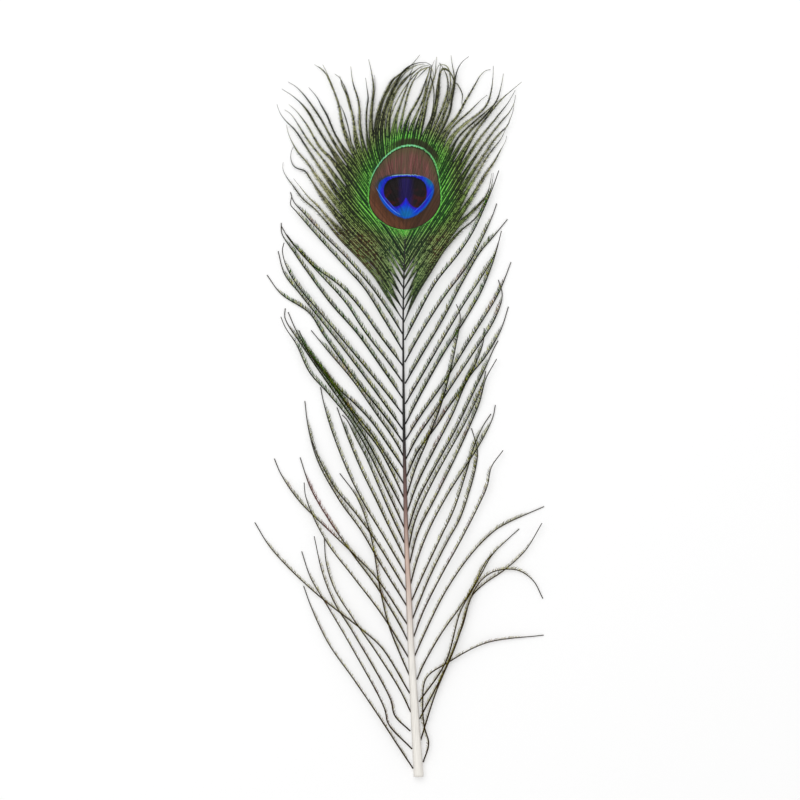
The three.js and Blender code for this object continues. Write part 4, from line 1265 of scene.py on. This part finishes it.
# Each is a point, the slope and the bend there, the stretch of x it covers, its colour and its strength.
HIGHLIGHT_LINES = (((-4.5, 87.2), -1.05, 0.067, (-10.4, 0.6), (92, 150, 232), 0.95),
                ((-3.3, 87.5), -1.07, 0.03, (-6.8, 0.4), (58, 96, 236), 0.8),
                ((8.9, 87.7), 1.07, 0.045, (5.0, 14.6), (52, 112, 236), 0.7))


def bronze_coats(paint, shade, x, y, bronze, blue, streak):
    upper = paint.coat((122, 76, 72), (92, 72, 58), paint.ramp(streak, 0.4, 0.6))
    lower = paint.coats((104, 64, 42),
                        ((84, 52, 34), paint.ramp(streak, 0.4, 0.65)),
                        ((62, 42, 30), paint.ramp(x, -1, 9, 0.0, 0.8)),
                        ((66, 46, 30), paint.ramp(blue, 1.2, 1.02, 0.0, 0.6)))
    olive_edge = paint.both(paint.ramp(bronze, 0.78, 0.97, 0.0, 0.8), paint.ramp(y, 90, 98))
    skin = paint.coats(lower,
                       (upper, paint.ramp(y, 92, 99)),
                       ((84, 76, 50), olive_edge),
                       ((22, 24, 12), paint.ramp(bronze, 0.962, 0.99)))
    return paint.coat(shade, skin, paint.ramp(bronze, 1.0, 0.985))


def blue_coats(paint, shade, x, y, blue, heart):
    deep = paint.both(paint.ramp(y, 89, 84), paint.ramp(paint.away(x, 2.6), 5, 1))
    right_corner = paint.both(paint.ramp(x, 8.5, 13), paint.ramp(y, 93.5, 98))
    left_corner = paint.both(paint.ramp(x, -5, -9), paint.ramp(y, 92, 96))
    violet = paint.both(paint.ramp(heart, 1.22, 1.04), paint.ramp(y, 98, 90, 0.35, 1.0))
    low = paint.ramp(y, 98, 94)
    skin = paint.coats((6, 44, 218),
                       ((0, 108, 176), deep),
                       ((0, 116, 150), right_corner),
                       ((0, 70, 190), left_corner),
                       ((44, 24, 190), violet),
                       ((0, 90, 200), paint.both(paint.ramp(blue, 0.88, 0.96), low)),
                       ((4, 42, 84), paint.both(paint.ramp(blue, 0.955, 1.01), low)))
    shadow = paint.both(paint.ramp(blue, 1.16, 1.0), paint.ramp(blue, 0.98, 1.0), paint.ramp(y, 94, 97),
                        paint.ramp(x, 9, -4, 0.15, 0.9))
    pale_top = paint.both(paint.ramp(blue, 0.95, 0.985), paint.ramp(blue, 1.02, 1.0),
                          paint.ramp(y, 96.8, 98.4), paint.ramp(x, -4.5, -2.5), paint.ramp(x, 10, 6))
    return paint.coats(shade,
                       (skin, paint.ramp(blue, 1.025, 0.965)),
                       ((30, 62, 66), shadow),
                       ((150, 196, 204), pale_top))


def heart_coats(paint, shade, x, y, heart, mottle):
    red_brown = paint.both(paint.ramp(mottle, 0.46, 0.6), paint.ramp(y, 97, 91))
    between_lobes = paint.both(paint.ramp(x, -1.5, 1.5), paint.ramp(x, 6.5, 3.5))
    upper_edge = paint.both(paint.ramp(heart, 0.8, 0.95), paint.ramp(y, 94, 96.5))
    skin = paint.coats((24, 18, 20),
                       ((58, 18, 22), red_brown),
                       ((26, 14, 78), between_lobes),
                       ((3, 4, 8), upper_edge))
    return paint.coat(shade, skin, paint.ramp(heart, 1.02, 0.97))


# Each line is a painted highlight along the edge of a lifted barb.
def highlight_line_coats(paint, shade, x, y):
    for through, slope, bend, stretch, highlight_colour, strength in HIGHLIGHT_LINES:
        step = paint.maths("SUBTRACT", x, through[0])
        rise = paint.maths("MULTIPLY", step, paint.maths("MULTIPLY_ADD", step, bend, slope))
        away = paint.away(paint.maths("SUBTRACT", y, through[1]), rise)
        line = paint.both(paint.ramp(away, EDGE_OUTER, EDGE_INNER),
                          paint.ramp(x, stretch[0], stretch[0] + EDGE_FADE),
                          paint.ramp(x, stretch[1], stretch[1] - EDGE_FADE), strength)
        shade = paint.coat(shade, highlight_colour, line)
    return shade


# %% Eye finish
PICTURE_SHIFT = 0.24                 # barbs shift the picture up or down by at most half of this
SPECK_ACROSS = 211.0                 # specks differ from barb to barb,
SPECK_ALONG = 85.0                   # and follow one another along each
BACK_SHARE = 0.7                     # how much of its own dull brown the web's lower face has


def eye_finish(name):
    paint = Paint(name)
    place = paint.place()
    along, tone, reach, vary = (paint.attribute(key) for key in ("along", "tone", "reach", "vary"))
    x, true_y = paint.axes(place)
    shift = paint.maths("MULTIPLY", paint.maths("SUBTRACT", tone, 0.5), PICTURE_SHIFT)
    y = paint.maths("ADD", true_y, shift)
    lean = paint.ramp(y, EYE_SHIFT_START_Y, EYE_SHIFT_END_Y, 0.0, EYE_TOP_SHIFT)
    bronze = oval(paint, paint.maths("SUBTRACT", x, lean), y, BRONZE_OVAL)
    blue = oval(paint, x, y, BLUE_OVAL)
    lobes = paint.maths("MINIMUM", oval(paint, x, y, HEART_LEFT_LOBE), oval(paint, x, y, HEART_RIGHT_LOBE))
    crown = paint.maths("MAXIMUM", oval(paint, x, y, HEART_CROWN), paint.ramp(y, 92.2, 89.5, 0.0, 2.0))
    heart = paint.maths("MINIMUM", lobes, crown)
    mottle = paint.noise(place, 0.3, 3.0)
    run = paint.node("ShaderNodeCombineXYZ", {"X": paint.maths("MULTIPLY", tone, SPECK_ACROSS),
                                              "Y": paint.maths("MULTIPLY", along, SPECK_ALONG)})
    speck = paint.noise(run.outputs[0], 0.85, 1.0)
    streak = paint.noise(place, 1.0, 2.0, (2.6, 0.12, 0.1))

    shade = outer_fan_coats(paint, x, y, bronze, along, tone, reach, vary, mottle, speck)
    shade = border_coats(paint, shade, x, y, bronze, speck)
    shade = bronze_coats(paint, shade, x, y, bronze, blue, streak)
    shade = blue_coats(paint, shade, x, y, blue, heart)
    shade = heart_coats(paint, shade, x, y, heart, mottle)
    shade = highlight_line_coats(paint, shade, x, true_y)

    # Inside the eye some blades and the barbs of a low tone are a little darker, and the edges of
    # vanes get a little painted shade between the barbs.
    inside = paint.ramp(bronze, 1.05, 1.0)
    for mark, low, high, lightest, darkest in ((vary, 0.1, 0.9, 1.0, 0.72), (reach, 0.4, 1.0, 1.0, 0.7),
                                               (tone, 0.6, 0.1, 1.04, 0.84)):
        amount = paint.both(inside, paint.ramp(mark, low, high))
        shade = paint.darken(shade, paint.ramp(amount, 0.0, 1.0, lightest, darkest))

    dull_back = paint.darken((84, 72, 52), paint.ramp(streak, 0.3, 0.7, 0.55, 1.15))
    shade = paint.coat(shade, dull_back, paint.both(paint.attribute("under"), BACK_SHARE))
    paint.surface(shade, 0.55, 0.15)
    return paint.finish


# %% [markdown]
# ## The shaft
#
# The shaft could be a swept curve, but its section is not round: it is flat below, where it lies on the
# surface, and domed above. So rings of that section are skinned along its centre-line, and an attribute
# marks how far out to the flank each point lies.

# %% Shaft mesh
SHAFT_LINE = [(7.8, CUT_Y), (6.2, -125), (4.8, -101), (3.5, -72), (2.7, -53), (2.1, -29), (1.6, 0),
              (1.4, 48), (2.2, 77), (1.9, SHAFT_END_Y)]
SHAFT_STATIONS = 240
SINK_START_Y = 73.0                  # from here the shaft goes under the vanes of the eye
SINK_LENGTH = 5.0
SINK_DEPTH = 0.75
HALF_SECTION = [(0.0, 0.0), (0.5, 0.0), (0.8, 0.1), (0.95, 0.27), (1.0, 0.5), (0.93, 0.7), (0.76, 0.87),
                (0.5, 0.96), (0.25, 0.99), (0.0, 1.0)]


def closed_skin(name, rings, marks):
    sides = len(rings[0])
    vertices = [tuple(point) for ring in rings for point in np.asarray(ring) * MM]
    faces = []
    for ring in range(len(rings) - 1):
        for side in range(sides):
            a = ring * sides + side
            b = ring * sides + (side + 1) % sides
            faces.append((a, b, b + sides, a + sides))
    faces.append(tuple(reversed(range(sides))))
    faces.append(tuple(range((len(rings) - 1) * sides, len(rings) * sides)))
    mesh = bpy.data.meshes.new(name)
    mesh.from_pydata(vertices, [], faces)
    for key, values in marks.items():
        mesh.attributes.new(key, "FLOAT", "POINT").data.foreach_set("value", values)
    return mesh


def shaft_mesh():
    section = HALF_SECTION + [(-across, up) for across, up in reversed(HALF_SECTION[1:-1])]
    line = even_route(SHAFT_LINE, SHAFT_STATIONS)
    rings = []
    flanks = []
    for x, y in line:
        half_width = shaft_width(y) / 2
        bottom = shaft_bottom(y) - SINK_DEPTH * smooth((y - SINK_START_Y) / SINK_LENGTH)
        height = SHAFT_HEIGHT_SHARE * shaft_width(y)
        ring = [(x + across * half_width, y, bottom + up * height) for across, up in section]
        rings.append(ring[::-1])
        flanks += [abs(across) for across, _ in section][::-1]
    return closed_skin("shaft", rings, {"flank": flanks})


shaft = piece_of("shaft", shaft_mesh())
print("shaft volume, positive when its faces point out:", outward_volume(shaft.data))
shaft.data.materials.append(horn_finish())
shaft.data.polygons.foreach_set("use_smooth", [True] * len(shaft.data.polygons))

# %% [markdown]
# ## The loose barbs
#
# Both sides use the dressing tree with the same sizes. The blades stand wider apart than real barbules,
# and each is a little thicker, so the fringe reads the same from arm's length with far fewer faces.

# %% Loose barbs, left and right
LOOSE_SIZES = {"Barbule spacing": 0.33 * MM, "Lean spread": 0.75, "Length spread": 0.22, "Vane ridge": 0.3}
loose_silk = loose_finish()
left_barbs = dressed_barbs("left_barbs", left_loose, loose_silk, LOOSE_SIZES, 3)
right_barbs = dressed_barbs("right_barbs", right_loose, loose_silk, LOOSE_SIZES, 5)

# %% [markdown]
# ## The fan, the crown and the eye
#
# The fan is cut into four pieces, so that none grows too heavy. The outer barbs form the flanks, and the
# inner ones cross the eye and run on into the crown. All four share one finish, so the picture of the
# eye runs over them without a seam.

# %% Fan pieces
FAN_SIZES = {"Barbule spacing": 0.6 * MM, "Lean spread": 0.8, "Length spread": 0.2, "Vane ridge": 0.06}
eye_silk = eye_finish("eye_silk")
left_cut = len(left_fan) // 2
right_cut = len(right_fan) // 2
fan_sets = (("fan_left", left_fan[:left_cut], 11), ("crown_left", left_fan[left_cut:], 13),
            ("fan_right", right_fan[:right_cut], 17), ("crown_right", right_fan[right_cut:], 19))
fan_pieces = [dressed_barbs(name, barbs, eye_silk, FAN_SIZES, seed) for name, barbs, seed in fan_sets]

# %% [markdown]
# ## The web under the eye
#
# Real barbules hook into each other and close the web, so nothing shows through the eye. A thin closed
# sheet just under the vanes stands for that. It follows the inner guides to where the web opens, and
# starts close to the shaft, or further out on the lowest of them, where the roots stand open.
# An attribute marks its lower face, because the back of a real eye is dull brown with a faint picture.

# %% Web sheet
WEB_ROWS = 30
WEB_START_SHARE = 0.03
WEB_LATEST_START = 0.25
WEB_FIRST_GUIDE = 4
WEB_END_SHARE = WEB_SHARE - 0.06
WEB_DEPTH = 0.28                     # how far under the vanes it lies
WEB_THICKNESS = 0.12


def web_mesh():
    left = list(enumerate(LEFT_GUIDES))[WEB_FIRST_GUIDE:]
    right = list(enumerate(RIGHT_GUIDES))[WEB_FIRST_GUIDE:]
    columns = []
    for index, points in left + [(len(LEFT_GUIDES), MIDDLE_GUIDE)] + right[::-1]:
        space = guide_space(points, 0)
        start = WEB_START_SHARE + WEB_LATEST_START * root_openness(index)
        rows = np.linspace(start, WEB_END_SHARE, WEB_ROWS) * (FAN_POINTS - 1)
        steps = np.arange(FAN_POINTS)
        columns.append(np.column_stack([np.interp(rows, steps, space[:, axis]) for axis in range(3)]))
    grid = np.array(columns)
    top = grid - (0, 0, WEB_DEPTH)
    bottom = grid - (0, 0, WEB_DEPTH + WEB_THICKNESS)
    rings = [np.vstack([bottom_column, top_column[::-1]]) for top_column, bottom_column in zip(top, bottom)]
    points = 2 * WEB_ROWS * len(rings)
    under = ([1.0] * WEB_ROWS + [0.0] * WEB_ROWS) * len(rings)
    return closed_skin("eye_web", rings, {"reach": [1.0] * points, "under": under})


eye_web = piece_of("eye_web", web_mesh())
print("web volume, positive when its faces point out:", outward_volume(eye_web.data))
eye_web.data.materials.append(eye_silk)

# %% [markdown]
# ## Hand over to the frame
#
# The feather is one body, so every piece rides on it. Each piece stands for the same solid, which is
# hidden, and a table pairs it with a slot name. The blades were only patterns for the tree, so they go.

# %% Frame calls
for blade in (left_blade, right_blade):
    bpy.data.objects.remove(blade)

slots = {shaft: "shaft", left_barbs: "barbs", right_barbs: "barbs", eye_web: "eye"}
slots.update({piece: "eye" for piece in fan_pieces})
for piece, slot in slots.items():
    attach(piece, "root")
    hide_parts("feather")
